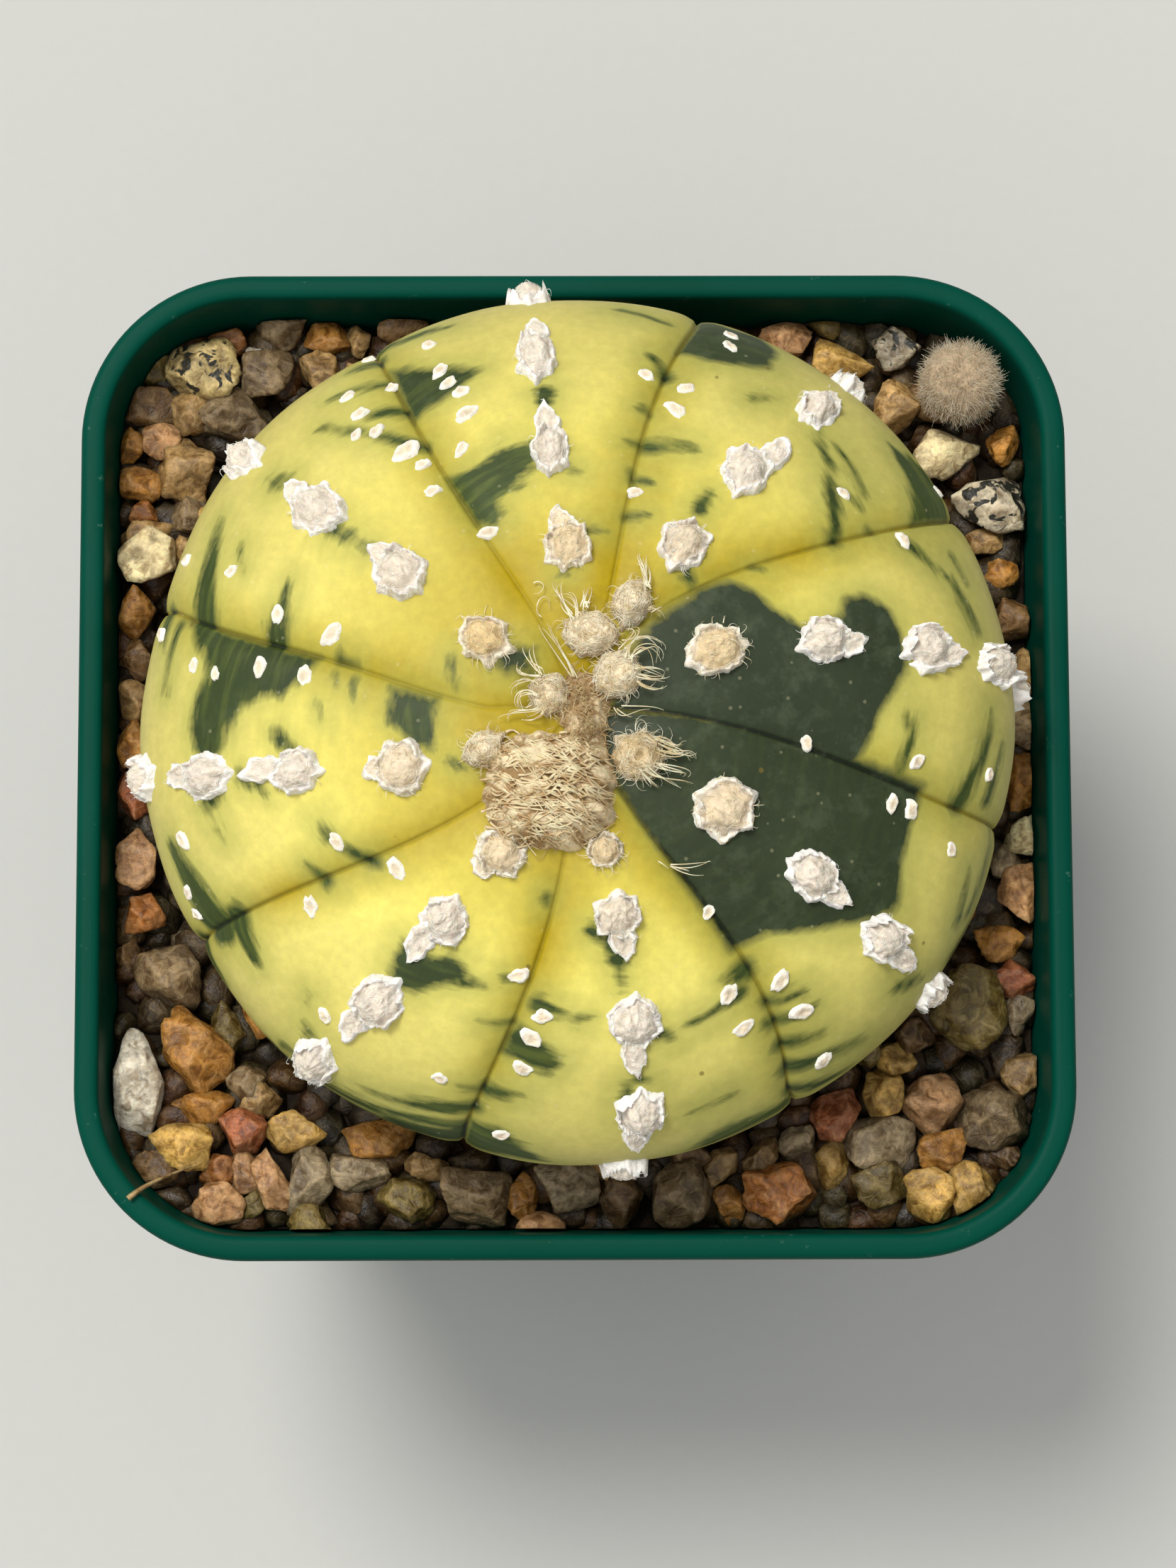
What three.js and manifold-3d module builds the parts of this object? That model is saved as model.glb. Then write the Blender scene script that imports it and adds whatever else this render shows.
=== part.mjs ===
// Potted variegated star cactus: a flat, eight-ribbed globe in a 7 cm square nursery pot,
// bedded in mineral gravel over potting mix. Millimetres, +Z up. The origin lies under the
// middle of the pot, on the surface that its four corner feet stand on.
import * as THREE from 'three';
import { mergeVertices } from 'three/addons/utils/BufferGeometryUtils.js';
import Module from 'manifold-3d';

const wasm = await Module();
wasm.setup();

// Pot
const potHalf = 35;            // half the outer width over the lip
const potCorner = 12;          // corner radius of the lip
const potHeight = 65;
const footHalf = 25;           // half the width at the feet
const footCorner = 8.5;
const lipWidth = 1.8;
const collarHeight = 7.5;      // the thicker band under the lip
const collarLow = potHeight - collarHeight;
const collarFlare = 1.2;       // height over which the wall widens into the collar
const collarStep = 0.5;        // how far the collar stands out from the wall below it
const wall = 1.1;
const baseLow = 2.4;           // underside of the base plate
const baseHigh = 3.8;          // inside floor of the pot
const skirtWall = 2.2;         // thickness of the feet
const notchWidth = 24;         // gap between two neighbouring feet
const notchHeight = 2;
const drainRadius = 2.7;
const drainRing = 12;          // distance of the outer drain holes from the middle

// The lip's round edge, outside and inside: depth under the top and inset from its widest.
const lipOutside = [[0.9, 0], [0.3, 0.2], [0, 0.7]];
const lipInside = [[0.9, lipWidth], [0.25, 1.6], [0, 1.2]];

// Filling
const gap = 0.3;               // clearance between neighbouring pieces
const mixTop = 53.6;           // potting mix below, gravel above
const bedTop = 58.9;           // the solid bed that the top stones are sunk into
const stoneTop = 63.5;         // no stone stands higher
const stoneFlatness = 0.8;     // a stone's thickness as a share of its smaller size
const stoneLift = 0.3;         // how far its middle stands over the bed, in thicknesses
const stoneReach = 0.54;       // half of its size, with what its cut corners lose
const packing = 0.42;          // closest that two stones lie, in their mean sizes
const clearOfStem = 24;        // no stone is drawn nearer to the stem's axis

// Cactus
const stemX = 0.2;
const stemY = 1.4;
const stemRadius = 30;
const equator = 71;            // height of the widest ring
const domeHeight = 12;         // from the widest ring up to the crown
const bellyHeight = 14;        // from the widest ring down to the root's neck
const dimpleDepth = 1.1;
const dimpleRadius = 4;
const ribBulge = 0.6;
const ribLevel = 0.5;          // share of the bulge at which a rib meets the smooth body
const creaseDepth = 0.95;      // depth of a grown groove
const youngCrease = 0.3;       // depth of a groove at the crown
const creaseWidth = 0.7;
const grownBetween = [3, 24];  // distances from the axis between which the ribs come up

// Each rib's groove runs out from the crown. Its bearing in degrees, counter-clockwise from
// +X, is read at these distances from the stem's axis, in mm.
const stations = [6, 12, 20, 29];
const grooves = [
  [-6.5, -9, -12.5, -14.2],
  [54, 43, 34, 28.7],
  [73, 76, 76.5, 73.5],
  [115, 118.5, 119.5, 118.5],
  [183, 173, 168, 164.5],
  [231, 222, 214, 210],
  [266, 263.5, 259, 254.4],
  [294, 300, 303, 299.5],
];

// Areoles stand along the middle of each rib: degrees down from the crown for each one.
const areoles = [
  [7, 19.5, 35.5, 53.4, 75, 100],
  [15, 26, 42.6, 64.6, 90],
  [8.8, 21.6, 37.6, 60.3, 87, 112],
  [4.2, 15.4, 31, 50, 79, 105],
  [13.8, 25, 42, 61.5, 84.7, 110],
  [21.7, 35.2, 53.9, 80, 107],
  [20.2, 29.2, 46.7, 69.3, 96],
  [10, 23.8, 40, 59.8, 88, 112],
];
const areoleWide = 4.1;
const areoleLong = 4.9;
const areoleRise = 1.3;
const areoleOutline = [[0, -0.7], [0.96, -0.7], [1, 0.15], [0.62, 0.78], [0, 1]];

// White flecks of wool beside each groove: degrees down from the crown, mm to the
// counter-clockwise side of the groove, and width in mm.
const fleckRise = 0.35;
const fleckOutline = [[0, -0.5], [1, -0.5], [0.7, 0.85], [0, 1]];
const flecks = [
  [[31, 0.3, 1.2], [47, -1.5, 1.2], [51, -1.4, 1.4], [50, 1.9, 1.3], [63, -2.8, 1.1], [70, 3.2, 1]],
  [[51, 3.3, 1.1], [57, -1.1, 1.2], [82, 2.2, 1]],
  [[30, -0.4, 1.1], [46, -1.6, 1.6], [51, -1.7, 1.3], [52, 1.3, 1.3], [68, -3.1, 1.1], [74, -2.6, 1.2]],
  [[26, -0.4, 1.4], [36, 1.2, 1.2], [40, -2, 1.3], [41, 0.9, 1.2], [45, 1.3, 2], [46, -3.6, 1.6],
    [51, -3.9, 1.2], [52, 2.4, 1.2], [54, 3.7, 1], [54, -3.5, 1.3], [58, 2.8, 1.3], [58, -3.3, 1.3],
    [61, 0.2, 1.1], [65, 3, 1.2], [68, -3.5, 1.1], [79, 0.6, 1]],
  [[35, -1.6, 1.8], [38, 1.5, 1.5], [45, -1.9, 1.4], [46, 1.8, 1.4], [55, 3.1, 1.1], [58, -3.8, 1.1],
    [61, 3, 1.1], [76, -3.6, 1], [77, 1.8, 1.1]],
  [[33, 1.4, 1.6], [38, -1.9, 1.4], [48, 1.5, 1.5], [62, 9, 1.1], [69, -6.4, 1.4], [75, -3.1, 1],
    [76, -1.5, 1]],
  [[38, -0.9, 1.4], [44, 1.7, 1.4], [48, 1.6, 1.6], [54, 1.8, 1.5], [61, -3, 1.1], [73, 2.4, 1.2]],
  [[33, -0.2, 1.1], [46, -2.1, 1.6], [49, 1.5, 1.5], [53, -2.2, 1.5], [57, 2.1, 1.6], [72, 2.6, 1.4]],
];

// A tuft of matted wool on the crown, in two lobes: middle x, y, z and half sizes.
const tuftLobes = [
  [-1.7, -4.5, 82.7, 4.6, 4.1, 2.9],
  [0.7, -0.4, 82.2, 1.6, 3.1, 1.9],
];

// A woolly fruit that lies in the far right corner.
const fruitPlace = [27.7, 27.4, 63.2];
const fruitRadius = 3.05;

// A dry stalk from the lip of the near left corner down onto the stones.
const stalkPath = [[-31, -30.7, 65.55], [-30.2, -29.9, 65.6], [-28.9, -29.2, 64], [-27, -28.3, 61.3]];
const stalkRadius = 0.22;

// The stones that show best, by corner and edge: x, y, size along X and size along Y.
const namedStones = [
  // Far left corner
  [-26.7, 29.2, 5.1, 4.2], [-30, 29.2, 2.4, 2.3], [-25.1, 31.4, 2.5, 1.7], [-21.2, 32.2, 3.3, 2.8],
  [-23.1, 30.4, 1.2, 1.2], [-22.1, 28.9, 3.2, 3], [-24.4, 26, 5, 3.8], [-30.4, 26.5, 4.6, 2.4],
  [-31.8, 23.7, 1.9, 2.3], [-29.7, 24, 2.4, 2.4], [-27.9, 21.7, 3.8, 4.6], [-31.6, 20.8, 3.3, 2.3],
  [-31, 18.7, 1.8, 1.7], [-27.7, 18.6, 2.6, 2.3], [-30.8, 16.9, 3.4, 2.1],
  // Near left corner
  [-30.9, -22.3, 3.5, 7.5], [-26.7, -20.1, 5.3, 7], [-24.6, -18.6, 2.2, 3.6], [-26.4, -24.2, 3.9, 2.3],
  [-27.9, -26.7, 4, 3.3], [-29.5, -28.5, 3.6, 2.3], [-23.5, -25.8, 3, 3], [-22.3, -23.5, 2.6, 2.3],
  [-19.8, -25.8, 3.8, 2.6], [-18.7, -29.3, 3, 4.8], [-21.4, -29.2, 2.6, 3.8], [-23.3, -28.7, 2.1, 2.6],
  [-25.3, -28.5, 2.3, 2], [-25.2, -30.8, 3.3, 2.8], [-22.8, -31, 1.9, 1.8], [-23.3, -22.4, 2.5, 2.2],
  // Near right corner
  [27.9, -18, 5.6, 6.1], [31.2, -15.1, 3, 2.5], [31.7, -17.7, 1.9, 2.6], [24.2, -19.1, 2.4, 2.2],
  [22.6, -20.8, 2.8, 2.2], [21.8, -23.2, 2.5, 3.1], [25.2, -24.2, 4, 4.2], [29.7, -25, 5, 4.2],
  [31.5, -22, 2.3, 2.9], [21.5, -26.8, 4.6, 3.5], [26, -27.3, 3.1, 2.8], [25.1, -30.5, 3.3, 3.5],
  [28.4, -30, 3.6, 4], [30.6, -27.8, 2.1, 1.5], [21.5, -29.6, 3.6, 3.1],
  // Far right corner
  [15.2, 31.5, 3.7, 2.4], [19.4, 29.7, 4.1, 3.1], [23.5, 30.7, 3.1, 2.9], [23.3, 26.2, 3.1, 3.6],
  [27, 22.9, 4.1, 3.3], [31.1, 23.6, 2.1, 2.6], [29.9, 19.1, 4.8, 3.8], [29.6, 16.6, 2.7, 1.7],
  [30.7, 14.1, 2.4, 1.9], [31.5, 10.8, 2.6, 2.7],
  // Left edge, from the far end
  [-30.9, 15.5, 4, 3.6], [-27.8, 15.9, 2, 2], [-31.5, 11.4, 2.5, 3.3], [-31.5, 8, 2.1, 2.8],
  [-31.4, 5, 2.1, 2.6], [-31.6, 2, 2.3, 3.1], [-31.4, -1.7, 2.5, 3.3], [-31.3, -6.4, 2.6, 3.8],
  [-30.6, -10.3, 2.6, 2.5], [-28.9, -14.8, 4.3, 4.2], [-31.9, -13.4, 1.6, 2.3],
  // Near edge, from the left
  [-15.4, -28.7, 4, 2.5], [-13.9, -26.4, 4.5, 2.5], [-11.9, -30.7, 3.8, 2.8], [-10.3, -28.3, 3.1, 1.8],
  [-7, -30.5, 4.5, 3.8], [-3.8, -30.5, 2.1, 3.1], [-0.6, -29.7, 4, 3.3], [3, -30.6, 3, 3.8],
  [7.6, -30.3, 4, 4.8], [10.3, -28.4, 2.1, 2.5], [10.9, -31.1, 2.1, 2.5], [14.4, -30.3, 4.8, 4.1],
  [13.1, -27.5, 2.3, 2.3], [15.7, -26.8, 2.3, 2.3], [18.4, -24.7, 3.1, 3.3], [18, -28.1, 2.3, 3.8],
  // Right edge, from the near end
  [30.2, -12.6, 3.1, 2.3], [31.8, -9, 2.9, 3.7], [32.2, -4.8, 2.5, 2.5], [32.2, -1, 2.3, 3.7],
  [32.2, 3.3, 2.5, 3.3],
  // Far edge, from the left
  [-17.8, 31.7, 3, 2.3], [-15.6, 31.4, 1.6, 2.1], [-18.4, 29.2, 2.5, 2.9],
];

// Between them lie more, drawn in turns of one size: size in mm and how many are tried.
const fillTurns = [[4, 140], [3, 180], [2.2, 60]];

// A seeded draw between two values, the same on every run.
let seed = 20260;
const draw = (low, high) => {
  seed = (seed * 16807) % 2147483647;
  return low + (high - low) * seed / 2147483647;
};
const radians = THREE.MathUtils.degToRad;

// Solids: a geometry becomes a closed body that can be joined and cut, and back again.
function bare(geometry) {
  const plain = geometry.index ? geometry.toNonIndexed() : geometry.clone();
  plain.deleteAttribute('normal');
  plain.deleteAttribute('uv');
  return plain;
}

function solid(geometry) {
  const merged = mergeVertices(bare(geometry), 1e-4);
  return new wasm.Manifold(new wasm.Mesh({
    numProp: 3,
    vertProperties: merged.attributes.position.array,
    triVerts: new Uint32Array(merged.index.array),
  }));
}

function piece(name, body, color, roughness) {
  const { vertProperties, triVerts } = body.getMesh();
  const geometry = new THREE.BufferGeometry();
  geometry.setAttribute('position', new THREE.BufferAttribute(new Float32Array(vertProperties), 3));
  geometry.setIndex(new THREE.BufferAttribute(new Uint32Array(triVerts), 1));
  const mesh = new THREE.Mesh(geometry, new THREE.MeshStandardMaterial({ color, roughness }));
  mesh.name = name;
  return mesh;
}

// A square with round corners, as a shape of the same points in the same order for any size.
function roundedSquare(half, corner) {
  const shape = new THREE.Shape();
  const inset = half - corner;
  const quarter = Math.PI / 2;
  shape.absarc(inset, inset, corner, 0, quarter);
  shape.absarc(-inset, inset, corner, quarter, 2 * quarter);
  shape.absarc(-inset, -inset, corner, 2 * quarter, 3 * quarter);
  shape.absarc(inset, -inset, corner, 3 * quarter, 4 * quarter);
  return shape;
}

// A square body through rows of { half, corner, z }, lowest first: an extrusion with a step
// for each row, whose rows are then moved to their own outline and height.
function loft(rows, detail = 4) {
  const outlines = rows.map(({ half, corner }) => roundedSquare(half, corner).getPoints(detail));
  const geometry = new THREE.ExtrudeGeometry(roundedSquare(rows[0].half, rows[0].corner), {
    depth: rows.length - 1, steps: rows.length - 1, curveSegments: detail, bevelEnabled: false,
  });
  const position = geometry.attributes.position;
  const at = new THREE.Vector2();
  for (let i = 0; i < position.count; i += 1) {
    at.set(position.getX(i), position.getY(i));
    const row = Math.round(position.getZ(i));
    const corner = outlines[0].findIndex((point) => point.distanceTo(at) < 1e-4);
    position.setXYZ(i, outlines[row][corner].x, outlines[row][corner].y, rows[row].z);
  }
  return solid(geometry);
}

// The tapered wall: half width and corner radius of the outside at a height.
function wallAt(z, inset = 0) {
  const up = Math.min(z / collarLow, 1);
  const half = THREE.MathUtils.lerp(footHalf, potHalf - lipWidth + wall - collarStep, up);
  const corner = THREE.MathUtils.lerp(footCorner, potCorner - lipWidth + wall, up);
  return { half: half - inset, corner: corner - inset, z };
}

function ringAt(z, inset) {
  return { half: potHalf - inset, corner: potCorner - inset, z };
}

function pot() {
  const outside = loft([
    wallAt(0),
    wallAt(collarLow - collarFlare),
    ringAt(collarLow, gap),
    ...lipOutside.map(([depth, inset]) => ringAt(potHeight - depth, inset)),
  ]);
  const mouth = lipInside.map(([depth, inset]) => ringAt(potHeight - depth, inset));
  const inside = loft([
    wallAt(baseHigh, wall),
    wallAt(collarLow, wall),
    ...mouth,
    { ...mouth[mouth.length - 1], z: potHeight + 1 },
  ]);
  const underside = loft([{ ...wallAt(0, skirtWall), z: -1 }, { ...wallAt(0, skirtWall), z: baseLow }]);
  let body = outside.subtract(inside).subtract(underside);
  for (const turn of [0, Math.PI / 2]) {
    const notch = new THREE.BoxGeometry(3 * footHalf, notchWidth, 2 * notchHeight);
    body = body.subtract(solid(notch.rotateZ(turn)));
  }
  const spots = [[0, 0], [1, 1], [1, -1], [-1, 1], [-1, -1]];
  for (const [x, y] of spots) {
    const hole = new THREE.CylinderGeometry(drainRadius, drainRadius, 4, 12).rotateX(Math.PI / 2);
    hole.translate(x * drainRing, y * drainRing, (baseLow + baseHigh) / 2);
    body = body.subtract(solid(hole));
  }
  return body;
}

// The cactus stem
const meridian = [163, 151, 139, 127, 116, 106, 96, 86, 76, 66, 57, 48, 40, 33, 26, 20, 15, 11, 7, 3];
const across = [0, 0.04, 0.12, 0.28, 0.5, 0.72, 0.88, 0.96];

// A groove's bearing at a distance from the axis: the smooth curve through its stations.
function grooveBearing(groove, distance) {
  const at = THREE.MathUtils.clamp(distance, stations[0], stations[3]);
  return stations.reduce((sum, station, i) => {
    const others = stations.filter((other) => other !== station);
    return sum + grooves[groove][i] * others.reduce((part, other) => part * (at - other) / (station - other), 1);
  }, 0);
}

// A point of the ribbed skin, and the direction that the smooth body faces there. share
// runs from one groove (0) to the next (1), down is in degrees from the crown.
function skin(groove, share, down) {
  const angle = radians(down);
  const reach = stemRadius * Math.sin(angle);
  const depth = down < 90 ? domeHeight : bellyHeight;
  const station = down < 90 ? reach : stemRadius;
  const next = (groove + 1) % 8;
  const from = grooveBearing(groove, station);
  const to = grooveBearing(next, station) + (next === 0 ? 360 : 0);
  const bearing = radians(THREE.MathUtils.lerp(from, to, share));
  const width = radians(to - from) * reach;
  const fromCrease = Math.min(share, 1 - share) * width;
  const grown = THREE.MathUtils.smoothstep(reach, ...grownBetween);
  const bulge = ribBulge * grown * (Math.sin(Math.PI * share) - ribLevel);
  const crease = THREE.MathUtils.lerp(youngCrease, creaseDepth, grown)
    * Math.exp(-((fromCrease / creaseWidth) ** 2));
  const dimple = dimpleDepth * Math.exp(-((reach / dimpleRadius) ** 2)) * (down < 90 ? 1 : 0);
  const out = new THREE.Vector3(Math.cos(bearing) * Math.sin(angle) * depth,
    Math.sin(bearing) * Math.sin(angle) * depth, Math.cos(angle) * stemRadius).normalize();
  const point = new THREE.Vector3(Math.cos(bearing) * reach, Math.sin(bearing) * reach,
    equator + depth * Math.cos(angle) - dimple);
  point.addScaledVector(out, bulge - crease);
  return { point: point.add(new THREE.Vector3(stemX, stemY, 0)), out };
}

function stem() {
  const columns = grooves.length * across.length;
  const profile = [180, ...meridian, 0].map((down) => new THREE.Vector2(
    down === 0 || down === 180 ? 0 : stemRadius * Math.sin(radians(down)), -down));
  const geometry = new THREE.LatheGeometry(profile, columns);
  const position = geometry.attributes.position;
  for (let i = 0; i < position.count; i += 1) {
    const column = Math.floor(i / profile.length) % columns;
    const down = -profile[i % profile.length].y;
    const { point } = skin(Math.floor(column / across.length), across[column % across.length], down);
    if (down === 0) point.set(stemX, stemY, equator + domeHeight - dimpleDepth);
    if (down === 180) point.set(stemX, stemY, equator - bellyHeight);
    position.setXYZ(i, point.x, point.y, point.z);
  }
  return solid(geometry);
}

const neckRadius = 6.5;
const root = [[0, 27], [0.9, 28], [2.2, 36], [3.6, 45], [5, 52], [neckRadius, 57], [neckRadius, 60], [0, 60]];

function rootBody(extra = 0) {
  const profile = root.map(([radius, z], i) => new THREE.Vector2(
    radius === 0 ? 0 : radius + extra, i < 2 ? z - extra : z));
  return solid(new THREE.LatheGeometry(profile, 10).rotateX(Math.PI / 2).translate(stemX, stemY, 0));
}

// A low dome that stands on the skin, sunk well in: an areole's pad or a fleck of wool.
function pad(groove, share, down, wide, long, rise, sides, outline) {
  const profile = outline.map(([reach, height]) => [reach, height < 0 ? height : height * rise]);
  const dome = new THREE.LatheGeometry(profile.map(([x, y]) => new THREE.Vector2(x, y)), sides);
  const { point, out } = skin(groove, share, down);
  const side = new THREE.Vector3(stemY - point.y, point.x - stemX, 0).normalize();
  const along = new THREE.Vector3().crossVectors(side, out);
  dome.rotateY(draw(0, Math.PI)).scale(wide / 2, 1, long / 2);
  dome.applyMatrix4(new THREE.Matrix4().makeBasis(side, out, along).setPosition(point));
  return solid(dome);
}

function cactus() {
  const bodies = [stem(), rootBody()];
  areoles.forEach((downs, rib) => downs.forEach((down) => {
    const young = THREE.MathUtils.clamp(down / 30, 0.72, 1);
    bodies.push(pad(rib, 0.5, down, areoleWide * young * draw(0.9, 1.1), areoleLong * young * draw(0.9, 1.1),
      areoleRise * young, 7, areoleOutline));
  }));
  flecks.forEach((row, groove) => row.forEach(([down, off, wide]) => {
    const reach = stemRadius * Math.sin(radians(down));
    const before = off < 0;
    const rib = before ? (groove + 7) % 8 : groove;
    const wrap = rib === 7 ? 360 : 0;
    const span = radians(grooveBearing((rib + 1) % 8, reach) + wrap - grooveBearing(rib, reach)) * reach;
    const share = before ? 1 + off / span : off / span;
    bodies.push(pad(rib, share, down, wide, wide * 1.2, fleckRise, 5, fleckOutline));
  }));
  return wasm.Manifold.union(bodies);
}

// The inside of the pot over a range of heights, clear of its wall.
function filling(low, high) {
  const clear = wall + gap;
  const rows = [wallAt(low, clear), wallAt(Math.min(high, collarLow), clear)];
  if (high > collarLow) rows.push(ringAt(high, lipWidth + 1.3 * gap));
  return loft(rows);
}

// The room that the stem's belly and root take up, a gap wider all round.
function stemRoom() {
  const proud = (1 - ribLevel) * ribBulge;
  const reach = stemRadius + proud + gap;
  const drop = bellyHeight + proud + gap;
  const profile = [[0, equator - drop]];
  for (let down = 155; down >= 90; down -= 13) {
    profile.push([reach * Math.sin(radians(down)), equator + drop * Math.cos(radians(down))]);
  }
  profile.push([0, equator]);
  const belly = new THREE.LatheGeometry(profile.map(([x, y]) => new THREE.Vector2(x, y)), 24);
  return solid(belly.rotateX(Math.PI / 2).translate(stemX, stemY, 0)).add(rootBody(gap));
}

function stone([x, y, wide, tall]) {
  const rock = mergeVertices(bare(new THREE.IcosahedronGeometry(1, 0)), 1e-4);
  const position = rock.attributes.position;
  for (let i = 0; i < position.count; i += 1) {
    const reach = draw(0.84, 1.14);
    position.setXYZ(i, position.getX(i) * reach, position.getY(i) * reach, position.getZ(i) * reach);
  }
  const thick = stoneFlatness * Math.min(wide, tall, fillTurns[0][0]);
  rock.rotateX(draw(0, Math.PI)).rotateZ(draw(0, Math.PI));
  rock.scale(stoneReach * wide, stoneReach * tall, thick / 2);
  return solid(rock.translate(x, y, bedTop + stoneLift * thick));
}

function stonePlaces() {
  const places = [...namedStones];
  const inset = potHalf - potCorner;
  const innerHalf = 33;
  for (const [size, tries] of fillTurns) {
    for (let i = 0; i < tries; i += 1) {
      const [x, y] = [draw(-innerHalf, innerHalf), draw(-innerHalf, innerHalf)];
      const [wide, tall] = [size * draw(0.8, 1.2), size * draw(0.8, 1.2)];
      const inCorner = Math.hypot(Math.max(Math.abs(x) - inset, 0), Math.max(Math.abs(y) - inset, 0));
      const underStem = Math.hypot(x - stemX, y - stemY) < clearOfStem;
      const free = places.every((other) => Math.hypot(other[0] - x, other[1] - y)
        > packing * (other[2] + other[3] + wide + tall) / 2);
      if (inCorner < potCorner - lipWidth && !underStem && free) places.push([x, y, wide, tall]);
    }
  }
  return places;
}

function gravel() {
  const bed = filling(mixTop + gap, bedTop);
  const stones = wasm.Manifold.union(stonePlaces().map(stone));
  return bed.add(stones).intersect(filling(mixTop + gap, stoneTop)).subtract(stemRoom());
}

function tuft() {
  const lobes = tuftLobes.map(([x, y, z, halfX, halfY, halfZ]) => solid(
    new THREE.SphereGeometry(1, 10, 6).rotateX(Math.PI / 2).scale(halfX, halfY, halfZ).translate(x, y, z)));
  return wasm.Manifold.union(lobes);
}

function fruit(extra = 0) {
  return solid(new THREE.SphereGeometry(fruitRadius + extra, 12, 8).translate(...fruitPlace));
}

function stalk(extra = 0) {
  const path = new THREE.CatmullRomCurve3(stalkPath.map((point) => new THREE.Vector3(...point)));
  const section = new THREE.Shape().absarc(0, 0, stalkRadius + extra, 0, 2 * Math.PI);
  return solid(new THREE.ExtrudeGeometry(section, { extrudePath: path, steps: 7, curveSegments: 3 }));
}

const cactusBody = cactus();
const cactusRoom = [[0, 0, gap], [gap, gap, 0], [-gap, -gap, 0]];
const tuftBody = cactusRoom.reduce((body, shift) => body.subtract(cactusBody.translate(shift)), tuft());

const group = new THREE.Group();
group.add(
  piece('pot', pot(), '#14604b', 0.35),
  piece('potting_mix', filling(baseHigh + gap, mixTop).subtract(rootBody(gap)), '#4a3626', 0.95),
  piece('gravel', gravel().subtract(fruit(gap)).subtract(stalk(gap)), '#a98a5c', 0.5),
  piece('cactus', cactusBody, '#d8cf4e', 0.55),
  piece('wool_tuft', tuftBody, '#c8b496', 0.95),
  piece('woolly_fruit', fruit(), '#a58c78', 0.95),
  piece('dry_stalk', stalk(), '#8a6a44', 0.8),
);

export default group;
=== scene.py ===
import math
import random

import bmesh
import bpy
import numpy as np
from mathutils import Matrix, Vector, noise


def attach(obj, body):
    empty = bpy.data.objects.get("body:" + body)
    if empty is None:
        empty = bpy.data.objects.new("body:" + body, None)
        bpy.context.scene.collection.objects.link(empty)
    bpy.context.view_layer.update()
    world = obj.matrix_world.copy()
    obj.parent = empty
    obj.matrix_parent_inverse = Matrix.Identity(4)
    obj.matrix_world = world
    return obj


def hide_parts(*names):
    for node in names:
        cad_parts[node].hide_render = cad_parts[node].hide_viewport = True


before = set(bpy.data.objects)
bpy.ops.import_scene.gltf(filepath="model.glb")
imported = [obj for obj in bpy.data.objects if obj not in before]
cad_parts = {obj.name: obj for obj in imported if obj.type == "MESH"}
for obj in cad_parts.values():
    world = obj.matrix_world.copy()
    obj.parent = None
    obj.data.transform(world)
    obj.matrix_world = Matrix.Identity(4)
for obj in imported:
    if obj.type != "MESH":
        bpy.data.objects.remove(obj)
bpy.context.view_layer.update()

MM = 0.001
chance = random.Random(11)

# Pot
POT_HALF = 35
POT_CORNER = 12
CORNER_MIDDLE = POT_HALF - POT_CORNER
POT_HEIGHT = 65
FOOT_HALF = 25
FOOT_CORNER = 8.5
LIP_WIDTH = 1.8
COLLAR_LOW = POT_HEIGHT - 7.5
WALL = 1.1
BASE_LOW = 2.4
BASE_HIGH = 3.8
SKIRT_WALL = 2.2
NOTCH_WIDTH = 24
DRAIN_RADIUS = 2.7
DRAIN_RING = 12

# Filling. Stones keep a gap under the stem, and none lies nearer to its axis than HIDDEN.
BED_TOP = 58.9
MIX_TOP = 53.6
UNDER_HALF = 32.6
STONE_GAP = 0.6
HIDDEN = 24

# Cactus stem
STEM_X = 0.2
STEM_Y = 1.4
STEM_RADIUS = 30
EQUATOR = 71
DOME_HEIGHT = 12
BELLY_HEIGHT = 14
DIMPLE_DEPTH = 1.1
DIMPLE_RADIUS = 4
RIB_BULGE = 0.3
RIB_LEVEL = 0.5

# Each groove's bearing in degrees at these distances from the stem's axis, in mm.
STATIONS = (6, 12, 20, 29)
GROOVES = (
    (-6.5, -9, -12.5, -14.2),
    (54, 43, 34, 28.7),
    (73, 76, 76.5, 73.5),
    (115, 118.5, 119.5, 118.5),
    (183, 173, 168, 164.5),
    (231, 222, 214, 210),
    (266, 263.5, 259, 254.4),
    (294, 300, 303, 299.5),
)
RIBS = len(GROOVES)

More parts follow.
